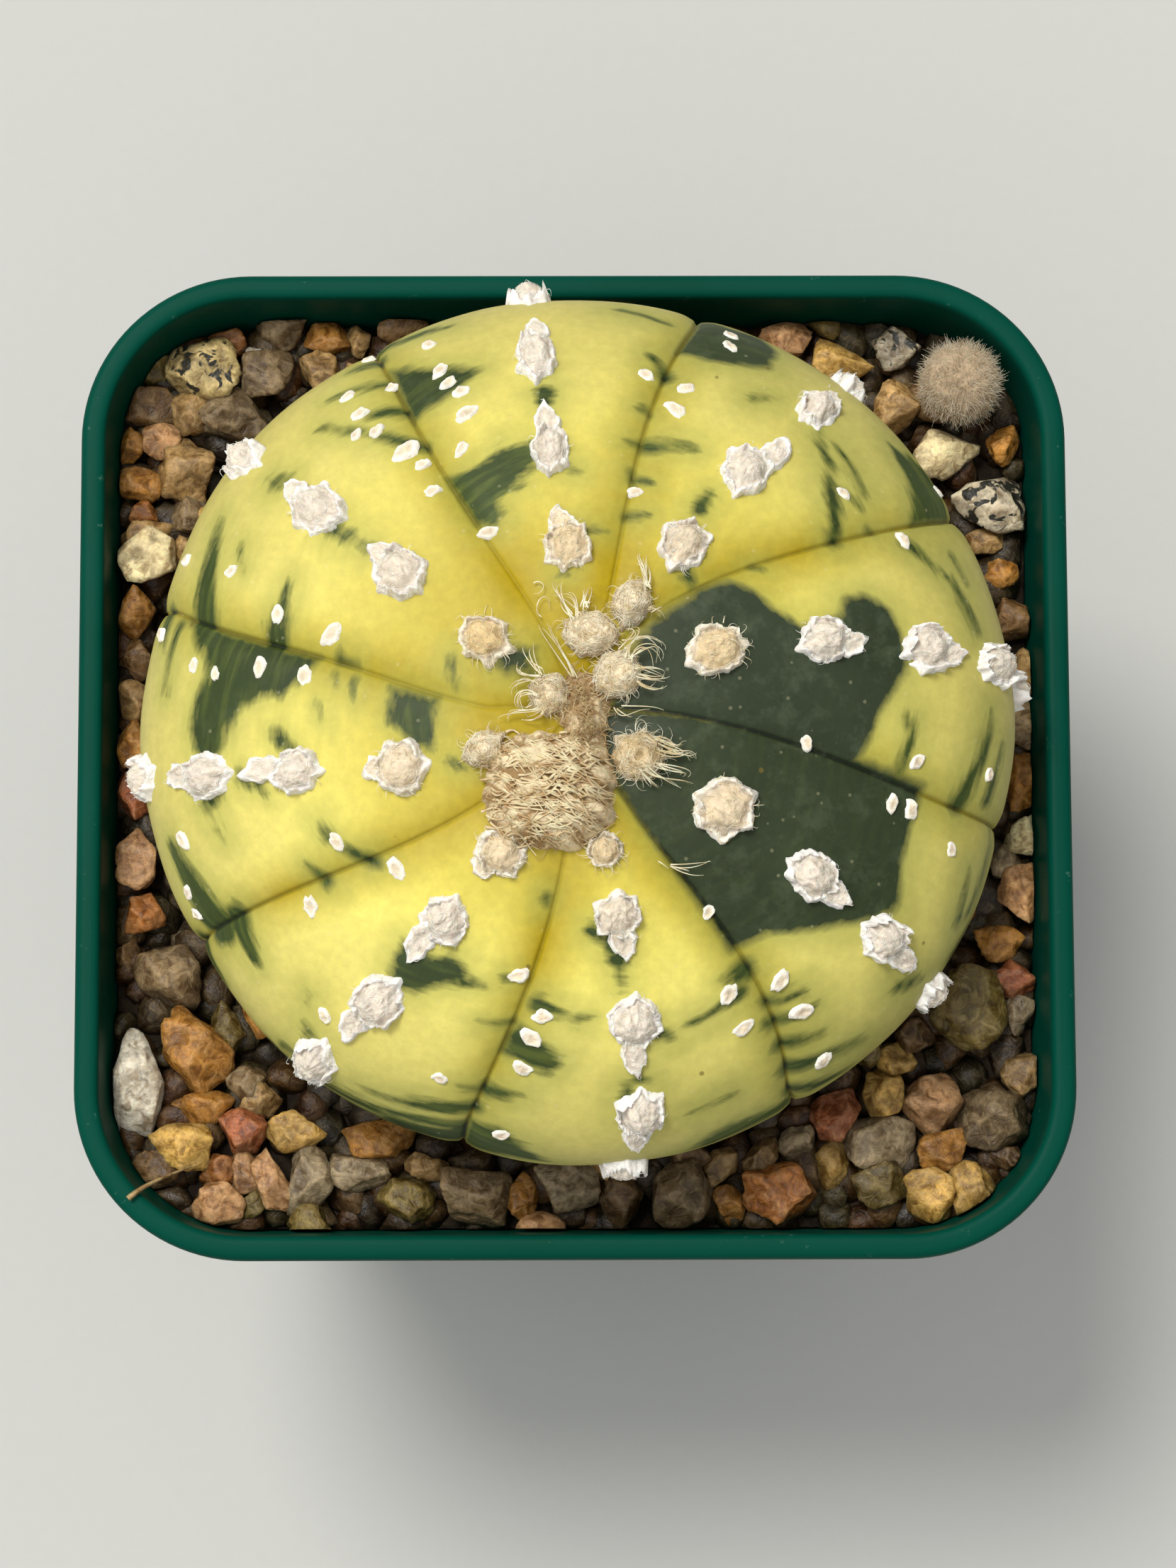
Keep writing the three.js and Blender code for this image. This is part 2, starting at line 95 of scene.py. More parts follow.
# Areoles along the middle of each rib: degrees down from the crown, mm off the middle, width,
# length, and where their narrow tail hangs and how long it is, in mm.
AREOLES = (
    ((6.2, 0.5, 3.6, 3.8, 0, 0), (19.1, 0.3, 3.9, 4.8, 0, 0.2), (34.4, 0.6, 3.6, 4.1, -0.1, 0.9),
     (52.4, 0.6, 3.7, 4.3, -0.4, 0.8), (72.5, 0.1, 3.3, 4.4, 0, 0.6), (92, -1.3, 3.2, 3.4, 0, 0)),
    ((14.5, -0.1, 2.9, 3.6, 0.4, 0.6), (25.3, -0.65, 3.5, 4.2, 0, 0), (40.8, -0.2, 3.6, 4.4, -0.7, 1.7),
     (62.5, 0, 3.1, 4, 0, 0.5), (88, 0.2, 3, 3.2, 0, 0)),
    ((9, -1.15, 4.3, 3.4, 0.6, 1), (20.8, -0.6, 3.5, 3.8, 0.3, 0.9), (35.6, -0.65, 2.8, 4, 0, 1.5),
     (55, -0.3, 3.1, 5, 0, 1), (86, 0.2, 3.3, 3.4, 0, 0), (112, 0, 3.6, 4, 0, 0)),
    ((4, 0.35, 3.2, 3.1, 0, 0), (14.7, -0.2, 3.5, 4.1, 0, 0.2), (29.8, -0.4, 3.8, 4.2, -0.3, 0.7),
     (47.9, -0.45, 3.9, 4.9, -0.1, 0.8), (76, 0, 3.5, 4, 0, 0.4), (105, 0, 3.6, 4, 0, 0)),
    ((13.5, 0.2, 2.7, 3.3, 0, 0.2), (24.7, 0.6, 4.2, 4, -0.1, 0.5), (39.9, 0.45, 3.3, 3.9, -0.4, 2),
     (57.6, 0.4, 3.6, 4.4, -0.2, 1.2), (82, 0, 3.5, 3.8, 0, 0), (110, 0, 3.6, 4, 0, 0)),
    ((22, -0.2, 3.8, 3.5, -0.5, 0.4), (34.1, -0.15, 3.6, 3.8, -0.4, 1.9), (51.8, 0.45, 3.9, 4.4, -0.3, 1.6),
     (76, 0, 3.4, 4.8, -0.4, 0.8), (107, 0, 3.6, 4, 0, 0)),
    ((19.4, -0.4, 2.8, 2.6, -0.3, 0.4), (28.5, -0.5, 3.5, 3.6, 0, 1.2), (45.3, -0.3, 3.9, 4.2, -0.1, 1.6),
     (64.5, 0.25, 3.6, 4.2, -0.1, 1.1), (92, -0.6, 3.4, 3.6, 0, 0)),
    ((10.3, -0.45, 3.9, 3.8, 0, 0), (23.4, -0.3, 4.6, 4.6, 0, 0), (39.7, -0.5, 3.6, 4.3, 0, 1.1),
     (58, -0.3, 3.4, 4.3, 0, 1.3), (88, 0, 3.4, 3.6, 0, 0), (112, 0, 3.6, 4, 0, 0)),
)
AREOLE_RISE = 1.25

# Values kept at each point of the stem's skin, and of the wool
STEM_VALUES = ("green", "even", "groove", "down")
WOOL_VALUES = ("rim", "young", "crease")

# White flecks beside each groove: degrees down, mm to its counter-clockwise side, width in mm.
FLECKS = (
    ((31, 0.3, 1.2), (47, -1.5, 1.2), (51, -1.4, 1.4), (50, 1.9, 1.3), (63, -2.8, 1.1), (70, 3.2, 1)),
    ((51, 3.3, 1.1), (57, -1.1, 1.2), (82, 2.2, 1)),
    ((30, -0.4, 1.1), (46, -1.6, 1.6), (51, -1.7, 1.3), (52, 1.3, 1.3), (68, -3.1, 1.1), (74, -2.6, 1.2)),
    ((26, -0.4, 1.4), (36, 1.2, 1.2), (40, -2, 1.3), (41, 0.9, 1.2), (45, 1.3, 2), (46, -3.6, 1.6),
     (51, -3.9, 1.2), (52, 2.4, 1.2), (54, 3.7, 1), (54, -3.5, 1.3), (58, 2.8, 1.3), (58, -3.3, 1.3),
     (61, 0.2, 1.1), (65, 3, 1.2), (68, -3.5, 1.1), (79, 0.6, 1)),
    ((35, -1.6, 1.8), (38, 1.5, 1.5), (45, -1.9, 1.4), (46, 1.8, 1.4), (55, 3.1, 1.1), (58, -3.8, 1.1),
     (61, 3, 1.1), (76, -3.6, 1), (77, 1.8, 1.1)),
    ((33, 1.4, 1.6), (38, -1.9, 1.4), (48, 1.5, 1.5), (62, 9, 1.1), (69, -6.4, 1.4), (75, -3.1, 1),
     (76, -1.5, 1)),
    ((38, -0.9, 1.4), (44, 1.7, 1.4), (48, 1.6, 1.6), (54, 1.8, 1.5), (61, -3, 1.1), (73, 2.4, 1.2)),
    ((33, -0.2, 1.1), (46, -2.1, 1.6), (49, 1.5, 1.5), (53, -2.2, 1.5), (57, 2.1, 1.6), (72, 2.6, 1.4)),
)

# Green streaks run out from the grooves across the ribs. Each one starts at a rib place and
# degrees down, ends at another, and has a width in mm. A rib place is the number of the
# groove clockwise of it plus the share of the way to the next groove.
STREAKS = (
    (3, 62, 3.2, 68, 0.8), (3, 74, 3.1, 76, 1.2), (3, 53, 3.16, 58, 0.9), (3.01, 44, 3.27, 62, 0.8),
    (2.98, 81, 2.76, 74, 1.2), (2.46, 46, 2.46, 43, 1.2), (2.45, 50, 2.45, 48, 0.3),
    (2.48, 18, 2.56, 17, 0.6), (2.35, 23, 2.12, 23, 0.4), (2.45, 34, 2.3, 32, 0.6), (4, 61, 3.69, 68, 2.3),
    (3.73, 58, 3.79, 56, 0.3), (4.01, 44, 3.77, 45, 1.9), (4.01, 78, 4.13, 73, 1.4),
    (4.03, 69, 4.25, 69, 0.7), (4.01, 62, 4.11, 59, 1.4), (3.98, 33, 3.98, 30, 0.6),
    (4.06, 30, 4.15, 30, 0.4), (4.23, 35, 4.28, 35, 0.3), (4.06, 33, 4.11, 33, 0.3),
    (3.49, 60, 3.44, 58, 1.4), (3.49, 43, 3.47, 36, 1.1), (3.75, 17, 3.91, 16, 0.5),
    (4.38, 42, 4.44, 40, 1.2), (5, 70, 4.71, 74, 3.1), (5.02, 35, 4.9, 38, 1), (4.85, 39, 4.76, 39, 0.8),
    (5.02, 43, 4.92, 44, 0.9), (4.69, 58, 4.75, 57, 0.4), (5, 64, 5.16, 66, 2), (5, 84, 5.14, 85, 1.5),
    (4.62, 59, 4.58, 55, 1), (4.54, 50, 4.6, 46, 0.9), (4.57, 18, 4.68, 17, 0.6),
    (5.69, 42, 5.82, 41, 0.5), (5.34, 61, 5.38, 64, 0.4), (5.47, 72, 5.4, 67, 0.9),
    (5.4, 81, 5.45, 79, 1.1), (6, 67, 5.66, 75, 1.2), (6, 46, 5.88, 47, 0.5), (5.94, 26, 5.96, 27, 0.6),
    (5.89, 39, 5.92, 39, 0.4), (6.02, 61, 5.93, 62, 0.6), (6.07, 42, 6.2, 43, 1.3),
    (6.01, 61, 6.13, 60, 1.2), (6.25, 44, 6.29, 44, 0.4), (6.98, 44, 6.88, 44, 1.5),
    (6.93, 47, 6.7, 48, 0.9), (6.81, 67, 6.67, 68, 0.6), (6.99, 51, 7.15, 54, 0.8),
    (6.97, 55, 7.16, 58, 0.9), (6.99, 61, 7.14, 64, 0.9), (7, 68, 7.27, 76, 1.2), (7, 77, 7.19, 87, 1.2),
    (6.41, 32, 6.44, 39, 1.5), (6.28, 30, 6.35, 32, 1), (6.57, 48, 6.63, 50, 0.8),
    (6.5, 56, 6.55, 58, 0.6), (6.46, 58, 6.47, 63, 0.9), (8.03, 47, 8.28, 49, 0.8),
    (8.02, 62, 8.29, 69, 1.5), (8.06, 72, 8.26, 75, 1), (7.7, 76, 7.85, 71, 0.8),
    (7.74, 81, 7.99, 79, 0.9), (7.6, 85, 7.73, 85, 0.8), (7.42, 69, 7.5, 75, 0.9),
    (2.23, 73, 2.07, 70, 0.7), (1.99, 53, 2.08, 57, 1.1), (2.04, 45, 2, 44, 0.5),
    (1.98, 38, 2.08, 38, 0.6), (2.02, 33, 1.97, 31, 0.5), (1.99, 26, 1.8, 27, 0.6),
    (1.97, 38, 1.74, 40, 1.1), (2, 32, 1.88, 32, 0.5), (1.68, 55, 1.62, 58, 0.5),
    (1.53, 31, 1.54, 34, 1.3), (1.29, 23, 0.98, 21, 0.8), (1.01, 44, 1.44, 58, 1), (1.2, 51, 1.1, 52, 0.6),
    (1.15, 55, 1.36, 58, 0.6), (1.02, 51, 1, 52, 0.4), (0.99, 30, 0.97, 31, 0.4),
    (0.94, 57, 0.77, 65, 0.7), (0.6, 68, 0.79, 65, 0.8), (0.87, 68, 0.77, 70, 0.5),
    (0.16, 66, 0.35, 69, 1), (0.22, 48, 0.26, 47, 0.7), (5.98, 75, 5.5, 83, 1.2),
    (5.98, 80, 5.35, 87, 1.3), (5.7, 88, 5.15, 92, 1.2), (5.95, 86, 5.6, 92, 1.4),
)
STREAK_EVENNESS = 0.35

# Green patches, as corners at a rib place and degrees down, with how even the green is
# inside, from 0 for streaked to 1 for one dark tone.
PATCHES = (
    (1, ((-0.05, 3), (0.93, 12), (0.97, 19), (1, 22), (0.97, 26), (0.85, 28), (0.73, 29), (0.62, 32),
         (0.66, 38), (0.74, 40), (0.75, 44), (0.68, 47), (0.57, 48), (0.45, 48), (0.39, 46), (0.24, 42),
         (0.06, 40), (-0.05, 38))),
    (0.9, ((6.96, 7), (7.5, 3), (8.04, 4), (8.04, 41), (8.04, 53), (7.87, 52), (7.73, 53), (7.59, 57),
           (7.46, 52), (7.31, 46), (7.14, 41), (6.96, 40))),
    (0.6, ((2.99, 67), (2.87, 60), (2.69, 55), (2.77, 52), (2.88, 51), (3, 50))),
    (0.2, ((3, 37), (2.82, 36), (2.69, 38), (2.53, 38), (2.53, 34), (2.66, 31), (2.78, 30), (2.83, 27),
           (2.9, 26), (3, 28))),
    (0.5, ((4, 67), (4, 36), (4.11, 38), (4.21, 42), (4.21, 45), (4.29, 49), (4.34, 51), (4.43, 53),
           (4.48, 57), (4.42, 60), (4.35, 61), (4.25, 59), (4.17, 57), (4.09, 59))),
    (0.4, ((4.04, 25), (4.02, 18), (4.27, 19), (4.46, 20), (4.44, 23), (4.31, 23), (4.28, 25), (4.17, 25))),
    (0.8, ((3.43, 12), (3.19, 9), (3.49, 7), (3.6, 9), (3.61, 12))),
    (0.6, ((5.42, 40), (5.44, 43), (5.47, 46), (5.52, 48), (5.61, 47), (5.65, 44), (5.74, 41), (5.7, 39),
           (5.61, 38), (5.57, 40), (5.47, 40))),
    (0.5, ((5.64, 88), (5.79, 81), (5.96, 76), (6.02, 72), (6.02, 89), (5.9, 89))),
    (0.4, ((6, 48), (6.03, 46), (6.13, 48), (6.22, 51), (6.22, 53), (6.19, 55), (6.1, 53), (6, 52))),
    (0.3, ((6, 71), (6.09, 71), (6.19, 77), (6.26, 85), (6, 89))),
    (0.3, ((7, 80), (6.92, 79), (6.8, 78), (6.71, 82), (6.65, 87), (6.74, 87), (6.85, 86), (7, 86))),
    (0.8, ((2, 82), (1.88, 81), (1.8, 83), (1.74, 76), (1.71, 66), (1.77, 63),
           (1.85, 61), (1.9, 60), (2, 61))),
    (0.3, ((1, 62), (1, 80), (1.09, 82), (1.17, 83), (1.23, 77), (1.28, 73), (1.24, 70), (1.16, 68),
           (1.09, 65))),
)

# The stones that show best: x, y, size along X, size along Y and tone.
NAMED_STONES = (
    # Far left corner
    (-26.7, 29.2, 5.1, 4.2, "spotted"), (-30, 29.2, 2.4, 2.3, "olive"), (-25.1, 31.4, 2.5, 1.7, "orange"),
    (-21.2, 32.2, 3.3, 2.8, "smoky"), (-23.1, 30.4, 1.2, 1.2, "white"), (-22.1, 28.9, 3.2, 3, "smoky"),
    (-24.4, 26, 5, 3.8, "smoky"), (-30.4, 26.5, 4.6, 2.4, "brown"), (-31.8, 23.7, 1.9, 2.3, "amber"),
    (-29.7, 24, 2.4, 2.4, "pink"), (-27.9, 21.7, 3.8, 4.6, "tan"), (-31.6, 20.8, 3.3, 2.3, "amber"),
    (-31, 18.7, 1.8, 1.7, "orange"), (-27.7, 18.6, 2.6, 2.3, "smoky"), (-30.8, 16.9, 3.4, 2.1, "tan"),
    # Near left corner
    (-30.9, -22.3, 3.5, 7.5, "white"), (-26.7, -20.1, 5.3, 7, "amber"), (-24.6, -18.6, 2.2, 3.6, "olive"),
    (-26.4, -24.2, 3.9, 2.3, "amber"), (-27.9, -26.7, 4, 3.3, "yellow"), (-29.5, -28.5, 3.6, 2.3, "brown"),
    (-23.5, -25.8, 3, 3, "red"), (-22.3, -23.5, 2.6, 2.3, "tan"), (-19.8, -25.8, 3.8, 2.6, "yellow"),
    (-18.7, -29.3, 3, 4.8, "grey"), (-21.4, -29.2, 2.6, 3.8, "pink"), (-23.3, -28.7, 2.1, 2.6, "pink"),
    (-25.3, -28.5, 2.3, 2, "orange"), (-25.2, -30.8, 3.3, 2.8, "pink"), (-22.8, -31, 1.9, 1.8, "olive"),
    (-23.3, -22.4, 2.5, 2.2, "smoky"),
    # Near right corner
    (27.9, -17.2, 5.6, 6.1, "olive"), (31.2, -15.1, 3, 2.5, "red"), (31.7, -17.7, 1.9, 2.6, "grey"),
    (24.2, -19.1, 2.4, 2.2, "brown"), (22.6, -20.8, 2.8, 2.2, "yellow"), (21.8, -23.2, 2.5, 3.1, "yellow"),
    (25.2, -24.2, 4, 4.2, "pink"), (29.7, -25, 5, 4.2, "smoky"), (31.5, -22, 2.3, 2.9, "tan"),
    (21.5, -26.8, 4.6, 3.5, "grey"), (26, -27.3, 3.1, 2.8, "amber"), (25.1, -30.5, 3.3, 3.5, "yellow"),
    (28.4, -30, 3.6, 4, "yellow"), (30.6, -27.8, 2.1, 1.5, "brown"), (21.5, -29.6, 3.6, 3.1, "olive"),
    # Far right corner
    (15.2, 31.5, 3.7, 2.4, "pink"), (19.4, 29.7, 4.1, 3.1, "yellow"), (23.5, 30.7, 3.1, 2.9, "granite"),
    (23.3, 26.2, 3.1, 3.6, "tan"), (27, 22.9, 4.1, 3.3, "cream"), (31.1, 23.6, 2.1, 2.6, "amber"),
    (29.9, 19.1, 4.8, 3.8, "granite"), (29.6, 16.6, 2.7, 1.7, "tan"), (30.7, 14.1, 2.4, 1.9, "amber"),
    (31.5, 10.8, 2.6, 2.7, "brown"),
    # Left edge, from the far end
    (-30.9, 15.5, 4, 3.6, "cream"), (-27.8, 15.9, 2, 2, "tan"), (-31.5, 11.4, 2.5, 3.3, "amber"),
    (-31.5, 8, 2.1, 2.8, "brown"), (-31.4, 5, 2.1, 2.6, "tan"), (-31.6, 2, 2.3, 3.1, "amber"),
    (-31.4, -1.7, 2.5, 3.3, "red"), (-31.3, -6.4, 2.6, 3.8, "pink"), (-30.6, -10.3, 2.6, 2.5, "orange"),
    (-28.9, -14.8, 4.3, 4.2, "smoky"), (-31.9, -13.4, 1.6, 2.3, "brown"),
    # Near edge, from the left
    (-15.4, -28.7, 4, 2.5, "grey"), (-13.9, -26.4, 4.5, 2.5, "amber"), (-11.9, -30.7, 3.8, 2.8, "olive"),
    (-10.3, -28.3, 3.1, 1.8, "tan"), (-7, -30.5, 4.5, 3.8, "smoky"), (-3.8, -30.5, 2.1, 3.1, "amber"),
    (-0.6, -29.7, 4, 3.3, "grey"), (3, -30.6, 3, 3.8, "brown"), (7.6, -30.3, 4, 4.8, "smoky"),
    (10.3, -28.4, 2.1, 2.5, "tan"), (10.9, -31.1, 2.1, 2.5, "amber"), (14.4, -30.3, 4.8, 4.1, "orange"),
    (13.1, -27.5, 2.3, 2.3, "tan"), (15.7, -26.8, 2.3, 2.3, "grey"), (18.4, -24.7, 3.1, 3.3, "red"),
    (18, -28.1, 2.3, 3.8, "yellow"),
    # Right edge, from the near end
    (30.2, -12.6, 3.1, 2.3, "amber"), (31.8, -9, 2.9, 3.7, "pink"), (32.2, -4.8, 2.5, 2.5, "cream"),
    (32.2, -1, 2.3, 3.7, "amber"), (32.2, 3.3, 2.5, 3.3, "smoky"),
    # Far edge, from the left
    (-17.8, 31.7, 3, 2.3, "amber"), (-15.6, 31.4, 1.6, 2.1, "tan"), (-18.4, 29.2, 2.5, 2.9, "tan"),
)

# Long hairs at the crown: the height of the first end above the last in mm, and the x, y
# places along each one.
CROWN_HAIRS = (
    # Curled loops, and a fan of dry fibres beside them
    (0, (
        ((-2.8, 9.4), (-2.3, 9.4), (-2.1, 9), (-2.4, 8.6), (-2.8, 8.7)),
        ((-2.3, 7.1), (-2.5, 7.8), (-2, 8.2), (-1.6, 7.7), (-1.7, 7))
    )),
    (0.45, (
        ((0, 3.2), (-0.6, 4.4), (-1.3, 5.8), (-1.6, 7)), ((-0.2, 3.1), (-1, 4.7), (-2, 6), (-2.5, 6.5)),
        ((-0.3, 3.1), (-1.3, 4.4), (-2.1, 5.5), (-2.3, 6.1)),
        ((-0.1, 3.1), (-0.7, 4.2), (-1.5, 5.5), (-1.9, 6.8)), ((0.1, 3), (-0.4, 4), (-1, 5.2), (-1.2, 6))
    )),
    # Curly hairs over the green panel, and a brown stub with hairs
    (0.5, (
        ((2.5, 1), (3.3, 0.4), (4.3, 0.7), (5.7, 0.8)), ((2.7, 0.9), (3.5, 0.2), (3.9, 0.1)),
        ((3, 1.1), (4.1, 1), (4.9, 0.9), (5.6, 0.6))
    )),
    (0.1, (
        ((5.4, -9.2), (6, -9.3), (6.7, -9.5)), ((6.2, -9.4), (7.7, -9.3), (9.2, -9)),
        ((6.2, -9.5), (7.7, -9.7), (9, -9.2)), ((6.2, -9.5), (7.2, -9.9), (7.4, -10.1)),
        ((6.2, -9.5), (7.4, -10.1), (8.5, -10.1))
    )),
    # Strands that hang from the right-hand areoles
    (1, (
        ((5.2, -1.2), (6.4, -1.7), (6.9, -1.6), (7.5, -1.3)),
        ((5.4, -2), (6.7, -2.2), (7.2, -2.1), (7.6, -2.7)),
        ((5.2, -2.8), (6.4, -3.4), (7.2, -3.5), (6.8, -3.9)),
        ((4.6, -3), (5.6, -3.7), (6.5, -4.1), (7.4, -4.4)), ((5.5, -1.6), (6.8, -2), (7.6, -2)),
        ((4.1, -3.2), (4.8, -4), (5.4, -4.3)), ((3.3, 4.2), (4.2, 5.5), (5.4, 5.4), (5.7, 4.7)),
        ((3.5, 4.1), (4.6, 5.1), (5.3, 4.7), (5.5, 3.7)), ((4, 3.7), (5.1, 3.5), (6, 3.3)),
        ((4.1, 3.1), (5.4, 2.9), (6.1, 3.1)), ((4, 2.6), (5.1, 2.1), (5.9, 2.6)),
        ((3.2, 4.8), (4.1, 5.8), (3.9, 6.2), (3.3, 6))
    )),
    # Spikes and wisps on the far areoles
    (0.9, (
        ((-0.2, 6.9), (-0.8, 8), (-1.2, 9), (-1, 9.5)), ((0, 7), (-0.3, 8.2), (-1.1, 8.4)),
        ((-0.1, 6.8), (-0.7, 7.7), (-1, 8.9)), ((0.5, 7.5), (0.8, 8.5), (1.2, 9)),
        ((0.8, 7.6), (0.6, 8.4), (1, 8.7))
    )),
    (0.8, (
        ((4.6, 9.1), (4.5, 10.2), (4.3, 10.9), (4.4, 11.3)), ((4.8, 9), (4.8, 9.9), (4.5, 10.6)),
        ((4.7, 9), (4.7, 10), (4.4, 11.1)), ((4.8, 7.6), (5.4, 7.5), (5.5, 7.2))
    )),
    # Drooping hair on the left-hand areole
    (0.8, (
        ((-2.4, 3.1), (-3.6, 3.3), (-3.5, 4)), ((-2.5, 2.6), (-3.8, 2.7), (-4, 1.9)),
        ((-2.4, 1.8), (-3.7, 1.6), (-3.9, 1), (-3.2, 0.6)),
        ((-2.2, 1), (-3.2, 0.8), (-4.2, 0.8), (-4.3, 0.2)), ((-2.1, 1), (-2.7, 0.2), (-3.5, 0)),
        ((-2.4, 3.2), (-3.1, 4.4), (-2.9, 4.9))
    )),
)

# The small stones' sizes in mm, with the number of tries for each
FILL_TURNS = ((4, 140), (3, 180), (2.2, 60))
FRUIT_PLACE = (27.7, 27.4, 63.2)
FRUIT_RADIUS = 3.05
STALK_PATH = ((-31, -30.7, 65.55), (-30.2, -29.9, 65.6), (-28.9, -29.2, 64), (-27, -28.3, 61.3))


def colour(code):
    """The linear colour of an sRGB hex value."""
    channels = [int(code[i:i + 2], 16) / 255 for i in (1, 3, 5)]
    linear = [c / 12.92 if c <= 0.04045 else ((c + 0.055) / 1.055) ** 2.4 for c in channels]
    return (*linear, 1)


def link(tree, target, inputs):
    """Gives a node's sockets, by name or in order, a value, a hex colour or a node's output."""
    for name, value in inputs.items() if isinstance(inputs, dict) else enumerate(inputs):
        if isinstance(value, bpy.types.NodeSocket):
            tree.links.new(value, target.inputs[name])
        else:
            target.inputs[name].default_value = colour(value) if isinstance(value, str) else value


def node(tree, kind, inputs=(), output=0, **settings):
    """Adds a node with its settings and links, and returns one of its outputs."""
    made = tree.nodes.new("ShaderNode" + kind)
    for name, value in settings.items():
        setattr(made, name, value)
    link(tree, made, inputs)
    return made.outputs[output]


def material(name, **sockets):
    """A new material, its tree and its shader, with values set on the shader's own sockets."""
    made = bpy.data.materials.new(name)
    made.use_nodes = True
    shader = made.node_tree.nodes["Principled BSDF"]
    link(made.node_tree, shader, {socket.replace("_", " "): value for socket, value in sockets.items()})
    return made, made.node_tree, shader


def smoothstep(value, low, high):
    share = np.clip((value - low) / (high - low), 0, 1)
    return share * share * (3 - 2 * share)


def any_vector():
    """A vector of three draws from -1 to 1."""
    return Vector((chance.uniform(-1, 1), chance.uniform(-1, 1), chance.uniform(-1, 1)))


def add_object(name, data):
    made = bpy.data.objects.new(name, data)
    bpy.context.scene.collection.objects.link(made)
    return made


def mesh_of(name, bm, scale=MM, outward=False):
    """Makes a bmesh, by default one in mm, a mesh in metres, and can face it all outwards."""
    bmesh.ops.scale(bm, vec=(scale, scale, scale), verts=bm.verts)
    if outward:
        bmesh.ops.recalc_face_normals(bm, faces=bm.faces)
    mesh = bpy.data.meshes.new(name)
    bm.to_mesh(mesh)
    bm.free()
    return mesh


def final_mesh(made):
    """The mesh that an object's curve or modifiers give."""
    bpy.context.view_layer.update()
    return bpy.data.meshes.new_from_object(made.evaluated_get(bpy.context.evaluated_depsgraph_get()))


def add_piece(name, mesh, look, stands_for):
    """Makes a mesh a piece of the object, on its one body."""
    mesh.materials.append(look)
    made = add_object(name, mesh)
    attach(made, "root")
    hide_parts(stands_for)
    return made


def finish(name, bm, look, stands_for, merge=0):
    """Makes a bmesh in mm a smooth piece, with points nearer than merge joined."""
    if merge:
        bmesh.ops.remove_doubles(bm, verts=bm.verts, dist=merge)
    for face in bm.faces:
        face.smooth = True
    return add_piece(name, mesh_of(name, bm, outward=True), look, stands_for)


def value_layers(bm, **kinds):
    """A bmesh's layers of values on its points, each one made on first use."""
    for name, kind in kinds.items():
        layers = getattr(bm.verts.layers, kind)
        if layers.get(name) is None:
            layers.new(name)
    return [getattr(bm.verts.layers, kind)[name] for name, kind in kinds.items()]


def grid(bm, columns, rows, place, names=(), fields=None, uv=None):
    """Adds a grid wrapped into a closed skin. place gives points in mm for shares round and
    along it, fields gives the named values for each point, and uv gives a place on the skin."""
    uv_layer = bm.loops.layers.uv.new("skin") if uv else None
    layers = value_layers(bm, **dict.fromkeys(names, "float"))
    verts = bmesh.ops.create_grid(bm, x_segments=columns, y_segments=rows, size=0.5)["verts"]
    start = np.array([vert.co for vert in verts])
    around = np.rint((start[:, 0] + 0.5) * columns) / columns
    along = np.rint((start[:, 1] + 0.5) * rows) / rows
    for vert, point in zip(verts, place(around, along)):
        vert.co = point
    for values_layer, values in zip(layers, fields(around, along) if fields else ()):
        for vert, value in zip(verts, values):
            vert[values_layer] = value
    if uv:
        for vert, at in zip(verts, uv(around, along)):
            for loop in vert.link_loops:
                loop[uv_layer].uv = at


def hairs(name, strands, look, stands_for, radius):
    """Fine tapered fibres, each one a list of points in mm, as closed four-sided tubes."""
    curve = bpy.data.curves.new(name, "CURVE")
    curve.dimensions = "3D"
    curve.bevel_depth = radius * MM
    curve.bevel_resolution = 0
    curve.use_fill_caps = True
    for strand in strands:
        spline = curve.splines.new("POLY")
        spline.points.add(len(strand) - 1)
        for i, (point, at) in enumerate(zip(spline.points, strand)):
            point.co = (*(Vector(at) * MM), 1)
            point.radius = 1 - 0.7 * i / (len(strand) - 1)
    shape = add_object(name + "_curve", curve)
    mesh = final_mesh(shape)
    bpy.data.objects.remove(shape)
    mesh.name = name
    mesh.materials.clear()
    add_piece(name, mesh, look, stands_for)


def ruffle(points, size, seed=0):
    """Smooth noise from -1 to 1 at each point, with bumps about size mm across."""
    shift = Vector((seed, -seed, 0.7 * seed))
    return np.array([noise.noise(Vector(point) / size + shift) for point in points])


def circle(angle, height=0):
    """Points of a circle of radius 1, for noise that closes on itself."""
    return np.stack([np.cos(angle), np.sin(angle), height + 0 * angle], -1)


# Stem shape
CUBICS = [np.polyfit(STATIONS, bearings, 3) for bearings in GROOVES]
DOWN_TABLE = np.linspace(0, 180, 3601)
STEP = np.hypot(STEM_RADIUS * np.cos(np.radians(DOWN_TABLE)),
                np.where(DOWN_TABLE < 90, DOME_HEIGHT, BELLY_HEIGHT) * np.sin(np.radians(DOWN_TABLE)))
ARC_TABLE = np.concatenate(([0], np.cumsum((STEP[1:] + STEP[:-1]) / 2) * math.radians(DOWN_TABLE[1])))


def groove_bearing(groove, reach):
    """A groove's bearing in degrees at a distance from the axis, counted on past 360."""
    bearing = np.polyval(CUBICS[groove % RIBS], np.clip(reach, STATIONS[0], STATIONS[-1]))
    return bearing + 360 * (groove // RIBS)


def dimple(reach):
    """Depth of the hollow at the crown, at a distance from the axis."""
    return DIMPLE_DEPTH * np.exp(-(reach / DIMPLE_RADIUS) ** 2)


